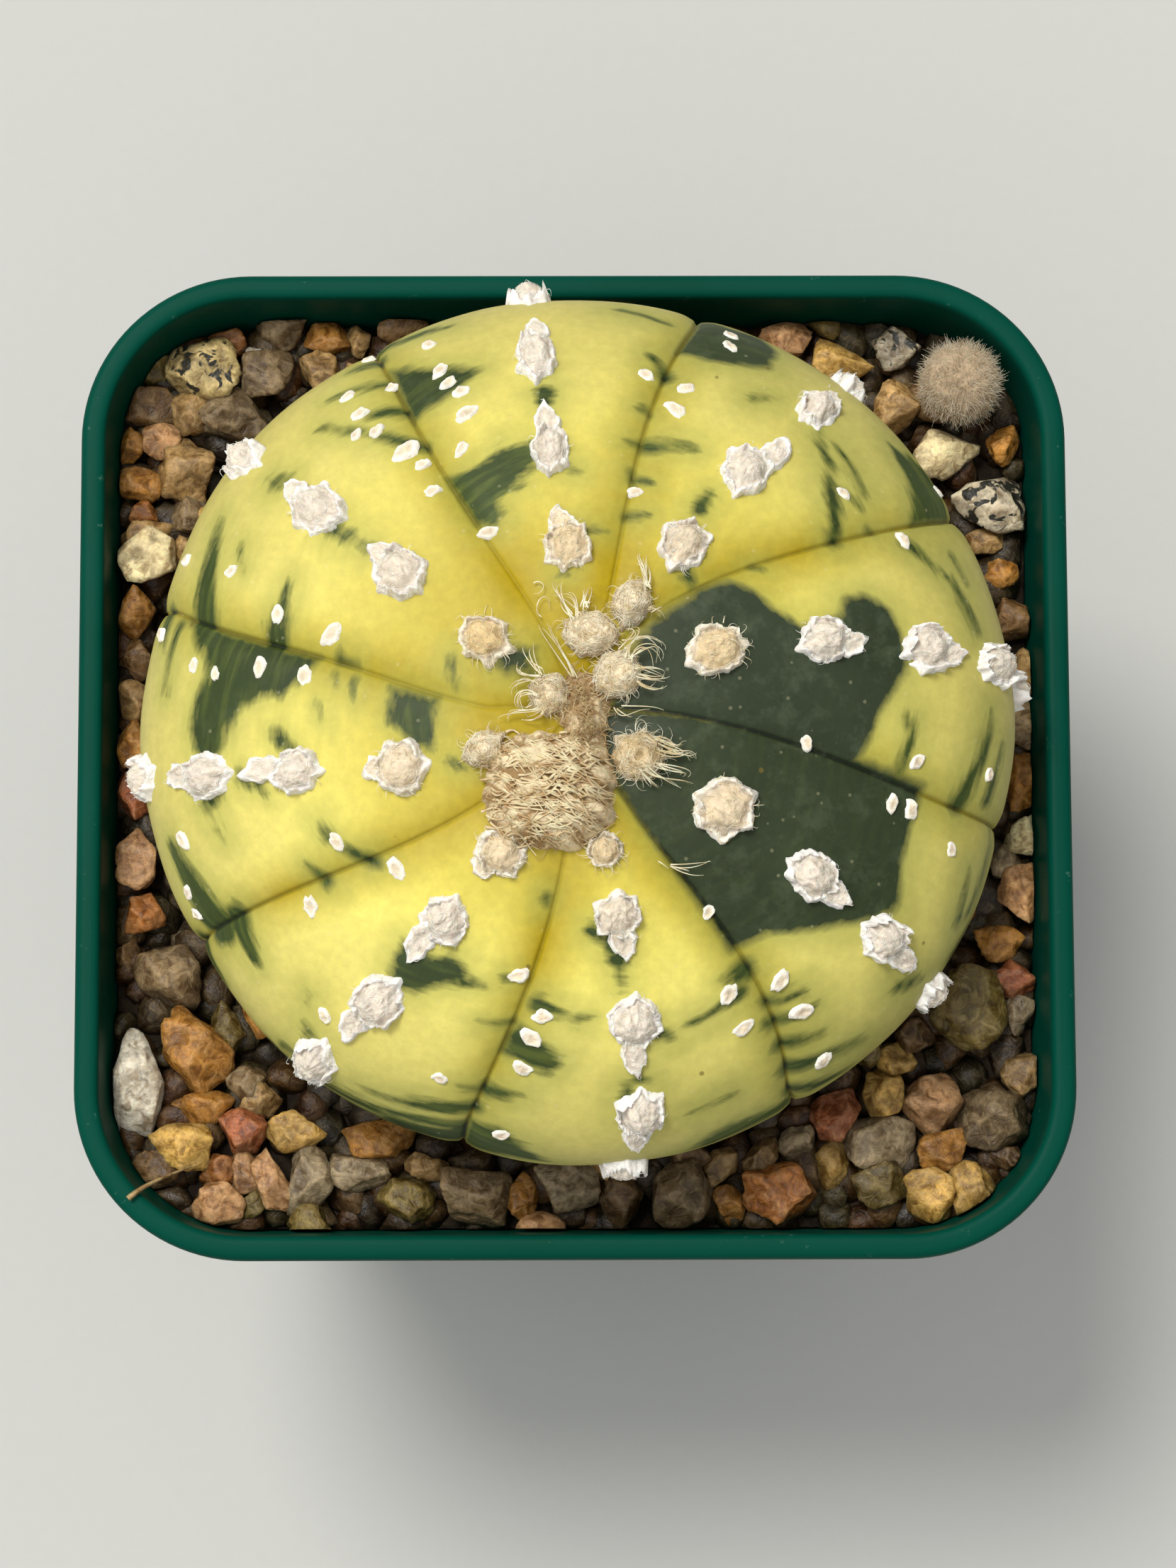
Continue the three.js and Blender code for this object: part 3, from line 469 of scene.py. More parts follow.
def skin(turn, down):
    """Points of the ribbed skin, the way the smooth body faces there, and the distance to
    the nearest groove in mm. turn is a groove's number plus the share to the next one."""
    turn, down = np.broadcast_arrays(np.asarray(turn, float), np.asarray(down, float))
    rib = np.clip(np.floor(turn), 0, RIBS - 1).astype(int)
    share = turn - rib
    angle = np.radians(down)
    reach = STEM_RADIUS * np.sin(angle)
    depth = np.where(down < 90, DOME_HEIGHT, BELLY_HEIGHT)
    station = np.where(down < 90, reach, STEM_RADIUS)
    first, last = [np.choose(rib, [groove_bearing(k + more, station) for k in range(RIBS)])
                   for more in (0, 1)]
    bearing = np.radians(first + (last - first) * share)
    apart = np.minimum(share, 1 - share) * np.radians(last - first) * reach
    grown = smoothstep(reach, 3, 24)
    bulge = RIB_BULGE * grown * (np.sin(np.pi * share) - RIB_LEVEL)
    # A groove is a soft valley with a sharp fold at its bottom.
    valley = (0.18 + 0.08 * grown) * np.exp(-(apart / 0.8) ** 2)
    fold = (0.09 + 0.17 * grown) * np.exp(-(apart / 0.16) ** 2)
    out = np.stack([np.cos(bearing) * np.sin(angle) * depth, np.sin(bearing) * np.sin(angle) * depth,
                    np.cos(angle) * STEM_RADIUS], -1)
    out /= np.linalg.norm(out, axis=-1, keepdims=True)
    point = np.stack([STEM_X + np.cos(bearing) * reach, STEM_Y + np.sin(bearing) * reach,
                      EQUATOR + depth * np.cos(angle) - dimple(reach) * (down < 90)], -1)
    return point + out * (bulge - (valley + fold))[..., None], out, apart


def rib_width(down):
    """The mean width of a rib in mm at degrees down."""
    return 2 * np.pi * STEM_RADIUS * np.sin(np.radians(np.clip(down, 4, 176))) / RIBS


def arc(down):
    """Millimetres over the skin from the crown to degrees down."""
    return np.interp(down, DOWN_TABLE, ARC_TABLE)


def flat(turn, down, middle):
    """Millimetres over the skin: across the ribs from a rib place, and down from the crown."""
    half = RIBS / 2
    return ((turn - middle + half) % RIBS - half) * rib_width(down), arc(down)


def line_gap(x, y, start, end):
    """Distance from points to a straight line between two ends, and the share along it."""
    run_x = end[0] - start[0]
    run_y = end[1] - start[1]
    share = ((x - start[0]) * run_x + (y - start[1]) * run_y) / (run_x ** 2 + run_y ** 2)
    share = np.clip(share, 0, 1)
    return np.hypot(x - start[0] - share * run_x, y - start[1] - share * run_y), share


def green_field(turn, down):
    """Distance in mm to the edge of the nearest green, above 0 inside it, and its evenness."""
    field = np.full(turn.shape, -9.0)
    even = np.zeros(turn.shape)
    for turn_0, down_0, turn_1, down_1, size in STREAKS:
        middle = (turn_0 + turn_1) / 2
        x, y = flat(turn, down, middle)
        off, share = line_gap(x, y, flat(turn_0, down_0, middle), flat(turn_1, down_1, middle))
        here = size / 2 * (1 - 0.8 * share ** 1.5) - off
        even = np.where(here > field, STREAK_EVENNESS, even)
        field = np.maximum(field, here)
    for evenness, corners in PATCHES:
        middle = sum(corner[0] for corner in corners) / len(corners)
        x, y = flat(turn, down, middle)
        ring = [flat(*corner, middle) for corner in corners]
        near = np.full(turn.shape, 99.0)
        inside = np.zeros(turn.shape, bool)
        for start, end in zip(ring, ring[1:] + ring[:1]):
            near = np.minimum(near, line_gap(x, y, start, end)[0])
            rise = end[1] - start[1]
            crosses = (start[1] > y) != (end[1] > y)
            slope = (end[0] - start[0]) / (rise if abs(rise) > 1e-9 else 1e-9)
            inside ^= crosses & (x < start[0] + (y - start[1]) * slope)
        here = np.where(inside, near, -near)
        even = np.where(here > field, evenness, even)
        field = np.maximum(field, here)
    return field, even


# Materials. In a MapRange node, sockets 1 to 4 are the ends it runs from and the ends it runs
# to. In a Mix node, sockets 6 and 7 are its colours.
def cactus_skin():
    # Waxy succulent skin, grown not made: a satin, slightly translucent sheen over yellow flesh,
    # with chlorophyll in panels and streaks that run across the ribs.
    made, tree, shader = material("waxy_cactus_skin", Roughness=0.5, IOR=1.4, Specular_IOR_Level=0.3,
                                  Subsurface_Weight=0.15, Subsurface_Radius=(1, 0.7, 0.25),
                                  Subsurface_Scale=0.001)
    green, even, groove, down = [node(tree, "Attribute", output="Fac", attribute_name=kept)
                                 for kept in STEM_VALUES]
    body = node(tree, "TexCoord", output="Object")
    body_x, body_y = [node(tree, "SeparateXYZ", (body,), axis) for axis in "XY"]
    # Streaks of chlorophyll are about 0.8 mm wide and 2.5 mm long, and thin places are longer.
    place = node(tree, "UVMap", uv_map="skin")
    across, inner = [node(tree, "Mapping", {"Vector": place, "Location": start, "Scale": size})
                     for start, size in (((0, 0, 0), (0.4, 1.3, 1)), ((7, 3, 0), (0.25, 1.5, 1)))]
    streak, thin, fine, mottle, dust = [
        node(tree, "TexNoise", {"Vector": at, "Scale": scale, "Detail": detail, "Roughness": rough})
        for at, scale, detail, rough in ((across, 1, 3, 0.55), (inner, 1, 4, 0.5), (body, 1500, 3, 0.6),
                                         (body, 160, 3, 0.5), (body, 420, 5, 0.7))]
    dots, grains = [node(tree, "TexVoronoi", {"Vector": body, "Scale": scale}) for scale in (190, 650)]
    share = {"even": even}
    for name, *ramp in (
        # The green's edge is torn by the streaks, least where the green is even or in a groove.
        ("torn", even, 0, 1, 2.4, 0.6), ("clean", groove, 0.1, 1.2, 0, 1),
        # Yellow deepens in the grooves (partly painted shade) and by the crown, and turns paler and greener
        # outwards.
        ("deep", groove, 0, 3.2, 0, 1), ("inward", down, 12, 40, 0.15, 1),
        # The yellow is painted lighter on the near half of the stem than on the far half: painted light.
        ("near", body_y, 0.012, -0.012, 0, 1), ("cloud", mottle, 0.4, 0.75, 0, 0.25),
        ("pale", down, 24, 48, 0, 0.38), ("away", groove, 0.3, 3.4, 0, 1),
        # Down the sides the yellow darkens to olive: partly greener skin, partly painted shade on the sides
        # turned from the light.
        ("edge", down, 42, 90, 0, 0.7), ("fading", groove, 0.3, 3.4, 0.6, 1),
        # The olive haze round the green is real, and heavier on the +X side as painted shade on the side
        # away from the window.
        ("haze_and_side_shade", green, -5, 0.5, 0, 0.6), ("outward", down, 30, 62, 0, 1),
        ("painted_side_shade", body_x, -0.02, 0.012, 0.25, 1.15),
        # Inside a patch, paler streaks show where the green is thin.
        ("thin", thin, 0.47, 0.66, 0, 1), ("open", even, 0.1, 0.95, 0.6, 0.02),
        # The fold at the bottom of a groove is a line 0.2 mm wide, olive in the yellow and
        # darker outwards: partly the groove's own dark line, partly painted shade in the crease.
        ("fold", groove, 0.02, 0.2, 0.9, 0), ("deeper", down, 15, 60, 0.2, 1),
        # Brown specks about 0.3 mm across, a few to each rib, and grains of bloom about 0.2 mm.
        ("speck", dots, 0.025, 0.04, 0.7, 0), ("grain", grains, 0.06, 0.1, 0.15, 0),
        # Bloom and dust lighten the green in clouds. Pale stomata and wax, in grains of 0.7 mm,
        # break up both colours.
        ("dust", dust, 0.5, 0.72, 0, 0.14), ("wax", fine, 0.35, 0.7, 0.93, 1.06),
        ("gloss", mottle, 0, 1, 0.42, 0.6),
    ):
        share[name] = node(tree, "MapRange", ramp)
    tear = node(tree, "Math", (share["torn"], share["clean"]), operation="MULTIPLY")
    ragged = node(tree, "Math", (streak, 0.5), operation="SUBTRACT")
    ragged = node(tree, "Math", (ragged, tear, green), operation="MULTIPLY_ADD")
    soft = node(tree, "Math", (fine, 0.5, ragged), operation="MULTIPLY_ADD")
    share["mask"] = node(tree, "MapRange", (soft, -0.1, 0.65, 0, 1))
    share["tinge"] = node(tree, "MapRange", (soft, -1.7, 0.3, 0, 0.55))
    share["deeper"] = node(tree, "Math", (share["deeper"], share["mask"]), operation="MAXIMUM")
    for name, *others in (("deep", "inward"), ("pale", "away"), ("edge", "fading"), ("fold", "deeper"),
                          ("haze_and_side_shade", "outward", "painted_side_shade"), ("thin", "open"), ("dust", "mask", "even")):
        for other in others:
            share[name] = node(tree, "Math", (share[name], share[other]), operation="MULTIPLY")
    pairs = ((share["near"], "#cdc04e", "#e5d962"), (mottle, "#212b18", "#353f2a"),
             (mottle, "#2b390c", "#3e4e16"), (share["mask"], "#7a6c14", "#12180e"))
    near_lit_yellow, dark, mid, groove_line_shade_tone = [node(tree, "Mix", {0: by, 6: first, 7: second}, 2, data_type="RGBA")
                                  for by, first, second in pairs]
    yellow = node(tree, "Mix", {0: share["deep"], 6: "#a48d06", 7: near_lit_yellow}, 2, data_type="RGBA")
    dark = node(tree, "Mix", {0: even, 6: mid, 7: dark}, 2, data_type="RGBA")
    dark = node(tree, "Mix", {0: share["thin"], 6: dark, 7: "#66702c"}, 2, data_type="RGBA")
    tone = yellow
    for name, over in (("cloud", "#d8cf74"), ("pale", "#e5d686"), ("edge", "#9e955c"), ("tinge", "#9a9d4a"),
                       ("haze_and_side_shade", "#95934a"), ("mask", dark), ("fold", groove_line_shade_tone), ("speck", "#6b5a24"),
                       ("dust", "#8a9876"), ("grain", "#d8d3a8")):
        tone = node(tree, "Mix", {0: share[name], 6: tone, 7: over}, 2, data_type="RGBA")
    tone = node(tree, "VectorMath", {0: tone, "Scale": share["wax"]}, operation="SCALE")
    bump = node(tree, "Bump", {"Height": fine, "Strength": 0.3, "Distance": 0.00006})
    link(tree, shader, {"Base Color": tone, "Roughness": share["gloss"], "Normal": bump})
    return made


def felted_wool(name, rim_white, rim_young, heart_white, heart_young):
    # Dry matted plant wool: dull, chalky and fibrous, whiter where it is weathered.
    made, tree, shader = material(name, Roughness=0.95, Specular_IOR_Level=0.1, Subsurface_Weight=0.15,
                                  Subsurface_Scale=0.0005)
    rim, young, crease = [node(tree, "Attribute", output="Fac", attribute_name=kept) for kept in WOOL_VALUES]
    body = node(tree, "TexCoord", output="Object")
    # Fibres are 0.2 mm across; clumps of them are about 0.7 mm.
    fibre = node(tree, "TexNoise", {"Vector": body, "Scale": 5200, "Detail": 3, "Roughness": 0.7,
                                    "Distortion": 1.2})
    clump = node(tree, "TexNoise", {"Vector": body, "Scale": 1500, "Detail": 3})
    rim_tone, heart = [node(tree, "Mix", {0: young, 6: white, 7: golden}, 2, data_type="RGBA")
                       for white, golden in ((rim_white, rim_young), (heart_white, heart_young))]
    tone = node(tree, "Mix", {0: rim, 6: heart, 7: rim_tone}, 2, data_type="RGBA")
    # Painted shade: the clumps that the bump raises are lighter, the hollows between them darker.
    shade = node(tree, "MapRange", (clump, 0.32, 0.6, 0.82, 1.07))
    tone = node(tree, "VectorMath", {0: tone, "Scale": shade}, operation="SCALE")
    # Painted shade in the wool's creases and hollows, stronger on young wool.
    crease_shade = node(tree, "MapRange", (young, 0, 1, 0.35, 0.6))
    crease_shade = node(tree, "Math", (crease, crease_shade), operation="MULTIPLY")
    tone = node(tree, "Mix", {0: crease_shade, 6: tone, 7: "#937a58"}, 2, data_type="RGBA")
    fuzz = node(tree, "Bump", {"Height": fibre, "Strength": 0.6, "Distance": 0.00012})
    tufts = node(tree, "Bump", {"Height": clump, "Strength": 0.7, "Distance": 0.0003, "Normal": fuzz})
    link(tree, shader, {"Base Color": tone, "Normal": tufts})
    return made


def fibre_look(name, pale, dark):
    # Single dry plant fibres, pale and slightly translucent, browner in places.
    made, tree, shader = material(name, Roughness=0.8, Specular_IOR_Level=0.2, Subsurface_Weight=0.2,
                                  Subsurface_Scale=0.0003)
    body = node(tree, "TexCoord", output="Object")
    patch = node(tree, "TexNoise", {"Vector": body, "Scale": 1100, "Detail": 2})
    share = node(tree, "MapRange", (patch, 0.4, 0.65, 0, 1))
    tone = node(tree, "Mix", {0: share, 6: pale, 7: dark}, 2, data_type="RGBA")
    link(tree, shader, {"Base Color": tone})
    return made


def moulded_plastic():
    # Injection-moulded polypropylene, dark green: a satin face with faint flow mottling and
    # a few pale scuffs.
    made, tree, shader = material("green_polypropylene", Roughness=0.4, IOR=1.49, Specular_IOR_Level=0.04)
    body = node(tree, "TexCoord", output="Object")
    flow, grain, wear = [
        node(tree, "TexNoise", {"Vector": body, "Scale": scale, "Detail": detail, "Roughness": rough})
        for scale, detail, rough in ((90, 4, 0.5), (2500, 2, 0.5), (700, 4, 0.7))]
    scuff = node(tree, "MapRange", (wear, 0.66, 0.74, 0, 0.3))
    tone = node(tree, "Mix", {0: flow, 6: "#003a2c", 7: "#03483a"}, 2, data_type="RGBA")
    tone = node(tree, "Mix", {0: scuff, 6: tone, 7: "#6c9482"}, 2, data_type="RGBA")
    gloss = node(tree, "MapRange", (flow, 0, 1, 0.36, 0.52))
    bump = node(tree, "Bump", {"Height": grain, "Strength": 0.15, "Distance": 0.00006})
    link(tree, shader, {"Base Color": tone, "Roughness": gloss, "Normal": bump})
    return made


def quartz_gravel():
    # Washed quartz and feldspar gravel: satin, slightly translucent stones, each one its own
    # tone, with iron stains, mineral grains and pale edges, partly wear and partly painted highlight.
    made, tree, shader = material("washed_quartz_gravel", Roughness=0.42, Specular_IOR_Level=0.35,
                                  Subsurface_Weight=0.3, Subsurface_Radius=(1, 0.55, 0.25),
                                  Subsurface_Scale=0.0012)
    tint = node(tree, "Attribute", attribute_name="tint")
    lot, speckled, edge = [node(tree, "Attribute", output="Fac", attribute_name=kept)
                           for kept in ("lot", "speckled", "edge")]
    body = node(tree, "TexCoord", output="Object")
    shift = node(tree, "CombineXYZ", (lot, lot, lot))
    place = node(tree, "VectorMath", (body, shift), operation="ADD")
    # Stains are about 2 mm across, mica 1.2 mm, mineral patches 0.9 mm and grains 0.3 mm.
    stain, mica, patch, grain = [
        node(tree, "TexNoise", {"Vector": place, "Scale": scale, "Detail": detail, "Roughness": rough,
                                "Distortion": bend})
        for scale, detail, rough, bend in ((480, 3, 0.5, 0.8), (850, 2, 0.5, 1.2), (1100, 4, 0.6, 0.8),
                                           (3200, 3, 0.5, 0))]
    height = node(tree, "SeparateXYZ", (body,), "Z")
    # Painted shade darkens the stones where they sit deep, below 61 mm.
    stained, crumbled, painted_gap_shade, browner_and_shaded, paler, flecked, gloss = [node(tree, "MapRange", ramp) for ramp in (
        (stain, 0.32, 0.66, 0.55, 1.55), (grain, 0.3, 0.7, 0.8, 1.2), (height, 0.0582, 0.061, 0.14, 1),
        (patch, 0.36, 0.54, 0.8, 0), (patch, 0.54, 0.68, 0, 0.7), (mica, 0.54, 0.59, 0, 1),
        (patch, 0.3, 0.7, 0.3, 0.6))]
    dark = node(tree, "VectorMath", (tint, (0.35, 0.26, 0.16)), operation="MULTIPLY")
    pale = node(tree, "VectorMath", (tint, (0.18, 0.14, 0.08)), operation="ADD")
    wear_and_highlight = node(tree, "Math", (edge, 0.4), operation="MULTIPLY")
    # Only the speckled stones have dark mica.
    flecked = node(tree, "Math", (flecked, speckled), operation="MULTIPLY")
    tone = node(tree, "VectorMath", {0: tint, "Scale": stained}, operation="SCALE")
    for share, over in ((browner_and_shaded, dark), (paler, pale), (wear_and_highlight, pale)):
        tone = node(tree, "Mix", {0: share, 6: tone, 7: over}, 2, data_type="RGBA")
    for shade in (crumbled, painted_gap_shade):
        tone = node(tree, "VectorMath", {0: tone, "Scale": shade}, operation="SCALE")
    tone = node(tree, "Mix", {0: flecked, 6: tone, 7: "#2c2a22"}, 2, data_type="RGBA")
    chip = node(tree, "Bump", {"Height": patch, "Strength": 0.6, "Distance": 0.0004})
    pit = node(tree, "Bump", {"Height": grain, "Strength": 0.4, "Distance": 0.0001, "Normal": chip})
    link(tree, shader, {"Base Color": tone, "Roughness": gloss, "Normal": pit})
    return made


def crumbly(name, dark, pale, grain_scale):
    # Loose crumbs of peat and grit: matt, with grains from 0.5 to 2 mm.
    made, tree, shader = material(name, Roughness=0.95, Specular_IOR_Level=0.25)
    body = node(tree, "TexCoord", output="Object")
    crumb = node(tree, "TexVoronoi", {"Vector": body, "Scale": grain_scale}, "Color")
    dust = node(tree, "TexNoise", {"Vector": body, "Scale": 2.5 * grain_scale, "Detail": 4})
    tone = node(tree, "Mix", {0: crumb, 6: dark, 7: pale}, 2, data_type="RGBA")
    bump = node(tree, "Bump", {"Height": dust, "Strength": 0.8, "Distance": 0.0004})
    link(tree, shader, {"Base Color": tone, "Normal": bump})
    return made


SKIN = cactus_skin()
WOOL = felted_wool("felted_areole_wool", "#f9f4ec", "#f8eed6", "#e2d7c5", "#dfc48f")
CROWN_WOOL = felted_wool("combed_crown_wool", "#e6d3ac", "#e6d3ac", "#a08259", "#a08259")
FRUIT_WOOL = felted_wool("grey_fruit_wool", "#ccb89c", "#ccb89c", "#bba587", "#bba587")
WHITE_FIBRE = fibre_look("white_areole_fibre", "#faf6ee", "#e6dccb")
HAIR_FIBRE = fibre_look("cream_crown_hair", "#efe3c4", "#ccb78c")
STRAW_FIBRE = fibre_look("straw_crown_fibre", "#f7ecd2", "#dec79c")
BEIGE_FIBRE = fibre_look("beige_combed_fibre", "#e4d2ab", "#b8996c")
BROWN_FIBRE = fibre_look("brown_matted_fibre", "#c9b083", "#8f734a")
GREY_FIBRE = fibre_look("grey_fruit_fibre", "#dccab0", "#baa486")
DRY_STALK = fibre_look("dry_plant_stalk", "#b39a6c", "#7d6038")
PLASTIC = moulded_plastic()
GRAVEL = quartz_gravel()
GAP_SHADE_BED = crumbly("gap_shade_gravel_bed", "#120c06", "#33271a", 900)
PEAT = crumbly("peat_potting_mix", "#1e140c", "#54402a", 600)


# Stem: closed skin on a grid whose columns crowd at the grooves
RIB_COLUMNS = 48
ROW_STEP = 0.25
FINE_END = 96
fine_arcs = np.arange(0, arc(FINE_END), ROW_STEP)
ROW_DOWNS = np.concatenate([np.interp(fine_arcs, ARC_TABLE, DOWN_TABLE), np.linspace(FINE_END + 1, 180, 26)])


def stem_place(u, v):
    """Rib place and degrees down for shares round and along the grid."""
    share = (u * RIBS) % 1
    crowded = share - 0.12 * np.sin(2 * np.pi * share)
    turn = np.minimum(np.floor(u * RIBS), RIBS - 1) + np.where(u == 1, 1, crowded)
    return turn, ROW_DOWNS[np.rint(v * (len(ROW_DOWNS) - 1)).astype(int)]


def stem_points(u, v):
    turn, down = stem_place(u, v)
    point, out, _ = skin(turn, down)
    pole = (down == 0) | (down == 180)
    point[pole, :2] = STEM_X, STEM_Y
    point[down == 0, 2] = EQUATOR + DOME_HEIGHT - DIMPLE_DEPTH
    point[down == 180, 2] = EQUATOR - BELLY_HEIGHT
    swell = 0.16 * ruffle(point, 7, 3) * smoothstep(down, 5, 25) * (1 - smoothstep(down, 150, 175))
    return point + out * swell[:, None]


def stem_values(u, v):
    turn, down = stem_place(u, v)
    return *green_field(turn % RIBS, down), skin(turn, down)[2], down


def stem_uv(u, v):
    """Millimetres round the rib and down it, skewed so that streaks lean away from the crown."""
    turn, down = stem_place(u, v)
    return np.stack([turn * 12, arc(down) - 0.15 * skin(turn, down)[2]], -1)


stem = bmesh.new()
grid(stem, RIBS * RIB_COLUMNS, len(ROW_DOWNS) - 1, stem_points, STEM_VALUES, stem_values, stem_uv)
finish("stem_skin", stem, SKIN, "cactus", merge=1e-4)

# Root neck below the stem, sunk in the filling, as half widths and heights
ROOT = ((0.01, 27), (0.9, 28), (2.2, 36), (3.6, 45), (5, 52), (6.5, 57), (6.5, 60), (0.01, 60))


def root_points(u, v):
    reach, height = np.array(ROOT)[np.rint(v * (len(ROOT) - 1)).astype(int)].T
    angle = 2 * np.pi * u
    return np.stack([STEM_X + reach * np.cos(angle), STEM_Y + reach * np.sin(angle), height], -1)


root = bmesh.new()
grid(root, 24, len(ROOT) - 1, root_points)
finish("root_neck", root, PEAT, "cactus", merge=0.05)


def frame_at(turn, down):
    """Point on the skin with its sideways, downhill and outward directions."""
    point, out, _ = skin(turn, down)
    side = np.array([STEM_Y - point[1], point[0] - STEM_X, 0])
    side /= np.linalg.norm(side)
    return point, side, np.cross(side, out), out


# Areoles: a woolly mound inside a torn paper-like collar that hugs the skin, and a tail. The
# crown's own are round woolly balls without a collar. Each kind has its profile as shares out
# and up, its columns, how rough its outline is, and the heights of its large and small folds.
MOUNDS = {
    "collar": (((0, 1), (0.2, 0.98), (0.38, 0.91), (0.52, 0.78), (0.62, 0.6), (0.7, 0.46), (0.76, 0.42),
                (0.81, 0.48), (0.86, 0.5), (0.9, 0.45), (0.94, 0.3), (0.97, 0.12), (1, -0.2)),
               72, 1, 0.26, 0.14),
    "ball": (((0, 1), (0.3, 0.98), (0.5, 0.92), (0.7, 0.76), (0.85, 0.5), (0.95, 0.2), (1, -0.2)),
             72, 1, 0.5, 0.24),
    "tail": (((0, 0.7), (0.4, 0.75), (0.7, 0.8), (0.85, 0.75), (0.94, 0.35), (1, -0.2)), 24, 2, 0.26, 0.14),
}
# Areoles nearer the crown than this are balls. On one rib it is the youngest areole, still
# golden and with a small pit.
BALL_DOWN = 14.6
GOLDEN_RIB = 7
GOLDEN = 1.6
areole_mesh = bmesh.new()
areole_fibres = []
young_fuzz = []


def skin_below(base, out):
    """How far along out the skin lies from points near it, so that a pad hugs the dome."""
    offset = base - np.array([STEM_X, STEM_Y, EQUATOR])
    depth = np.where(offset[:, 2] > 0, DOME_HEIGHT, BELLY_HEIGHT)
    half = np.stack([STEM_RADIUS + 0 * depth, STEM_RADIUS + 0 * depth, depth], -1)
    scaled = offset / half
    way = out / half
    a = (way ** 2).sum(-1)
    b = (scaled * way).sum(-1)
    c = (scaled ** 2).sum(-1) - 1
    drop = (-b + np.sqrt(np.maximum(b * b - a * c, 0))) / a
    return np.clip(drop - drop[0], -1.2, 0)


def fibres(young):
    """The list that an areole's fibres go to: young ones are straw, the others white."""
    return young_fuzz if young > 0.35 else areole_fibres


def add_mound(kind, turn, down, wide, long, rise, young, tips, tufts, pitted=False):
    """Adds a woolly mound on the skin, with short fibres over it. tips are the bearings and
    lengths of its corners."""
    profile, columns, rough, large_fold, small_fold = MOUNDS[kind]
    point, side, downhill, out = frame_at(turn, down)
    seed = chance.uniform(0, 90)
    kept = {}

    def place(u, v):
        angle = 2 * np.pi * u
        share = np.clip(v, 0, 1) ** 0.8
        height = np.interp(share, *np.array(profile).T)
        spread = np.full(angle.shape, 0.86)
        for at, length in tips:
            off = np.abs((angle - at + np.pi) % (2 * np.pi) - np.pi)
            spread = spread + length * np.exp(-(off / 0.17) ** 2) * share
        ring = circle(angle, share)
        uneven = 0.12 * ruffle(ring, 0.4, seed) + 0.07 * ruffle(ring, 0.13, seed + 5)
        reach = share * (spread + rough * uneven)
        x = reach * np.sin(angle) * wide / 2
        y = reach * np.cos(angle) * long / 2
        base = point + side * x[:, None] + downhill * y[:, None]
        # Folds in the felt run mostly downhill.
        felt = np.stack([x, 0.6 * y, 0 * x], -1)
        large, small, fine = [ruffle(felt, size, seed + more)
                              for size, more in ((1.1, 0), (0.5, 3), (0.2, 6))]
        fold = np.exp(-(large / 0.07) ** 2) + 0.6 * np.exp(-(small / 0.08) ** 2)
        pit = pitted * np.exp(-(share / 0.16) ** 2)
        hollow = torn = 0
        kept["rim"] = smoothstep(share, 0.62, 0.8)
        if kind == "collar":
            hollow = np.exp(-((share - 0.75) / 0.05) ** 2)
            torn = 1.4 * ruffle(ring, 0.5, seed + 9) + 0.9 * ruffle(ring, 0.16, seed)
            torn = np.maximum(torn * smoothstep(share, 0.7, 0.82), -0.7)
        if kind == "ball":
            hollow = smoothstep(share, 0.7, 0.95)
            kept["rim"] = np.full(u.shape, max(1 - 0.3 * young ** 2, 0))
        # crease marks where the wool takes painted shade: its folds, the hollow inside a collar or round a
        # ball's foot, and the pit.
        kept["crease"] = np.clip(0.5 * fold + hollow + pit, 0, 1)
        bumps = large_fold * large + small_fold * small + 0.07 * fine - 0.05 * fold
        bumps = bumps * (share < 0.97) - 0.45 * pit
        lift = np.where(height > 0, height * rise * (1 + torn), height)
        return base + out * (lift + skin_below(base, out) + bumps)[:, None]

    def values(u, v):
        return kept["rim"], np.full(u.shape, young), kept["crease"]

    grid(areole_mesh, columns, 24, place, WOOL_VALUES, values)
    # Each fibre lies along the felt and lifts off it a little, more where the wool is young.
    u, v = np.array([(chance.random(), math.sqrt(chance.uniform(0.01, 0.95))) for _ in range(tufts)]).T
    along_u, along_v, loft, curl = [np.array([chance.gauss(0, 1) for _ in u]) for _ in range(4)]
    steps = []
    for t in (0, 0.33, 0.66, 1):
        bow = (0.04 + (0.05 + 0.3 * young) * np.abs(loft)) * math.sin(2.6 * t) - 0.05 * (t == 0)
        swing = along_u * t + 0.25 * curl * t * t
        at = place(u + swing * 0.05 / np.maximum(v, 0.25), v + 0.12 * along_v * t)
        steps.append(at + out * bow[:, None])
    fibres(young).extend(list(strand) for strand in np.stack(steps, 1))


def add_wisps(turn, down, wide, long, rise, young):
    """Loose curled wool that hangs over an areole's edge."""
    point, side, downhill, out = frame_at(turn, down)
    for _ in range(int(10 + 22 * young)):
        angle = chance.uniform(0, 2 * math.pi)
        reach = chance.uniform(0.6, 0.9)
        x = reach * math.sin(angle) * wide / 2
        y = reach * math.cos(angle) * long / 2
        start = point + side * x + downhill * y + out * rise * chance.uniform(0.15, 0.6)
        way = side * math.sin(angle) + downhill * math.cos(angle)
        aside = np.cross(out, way)
        length = chance.uniform(0.18, 0.42) * (1 + 0.9 * young)
        hook = chance.uniform(-1.2, 1.2)
        fibres(young).append([start + way * length * math.sin(1.9 * t) + aside * hook * length * t * t
                              + out * rise * (0.35 * t - 0.75 * t * t) for t in (0, 0.2, 0.4, 0.6, 0.8, 1)])


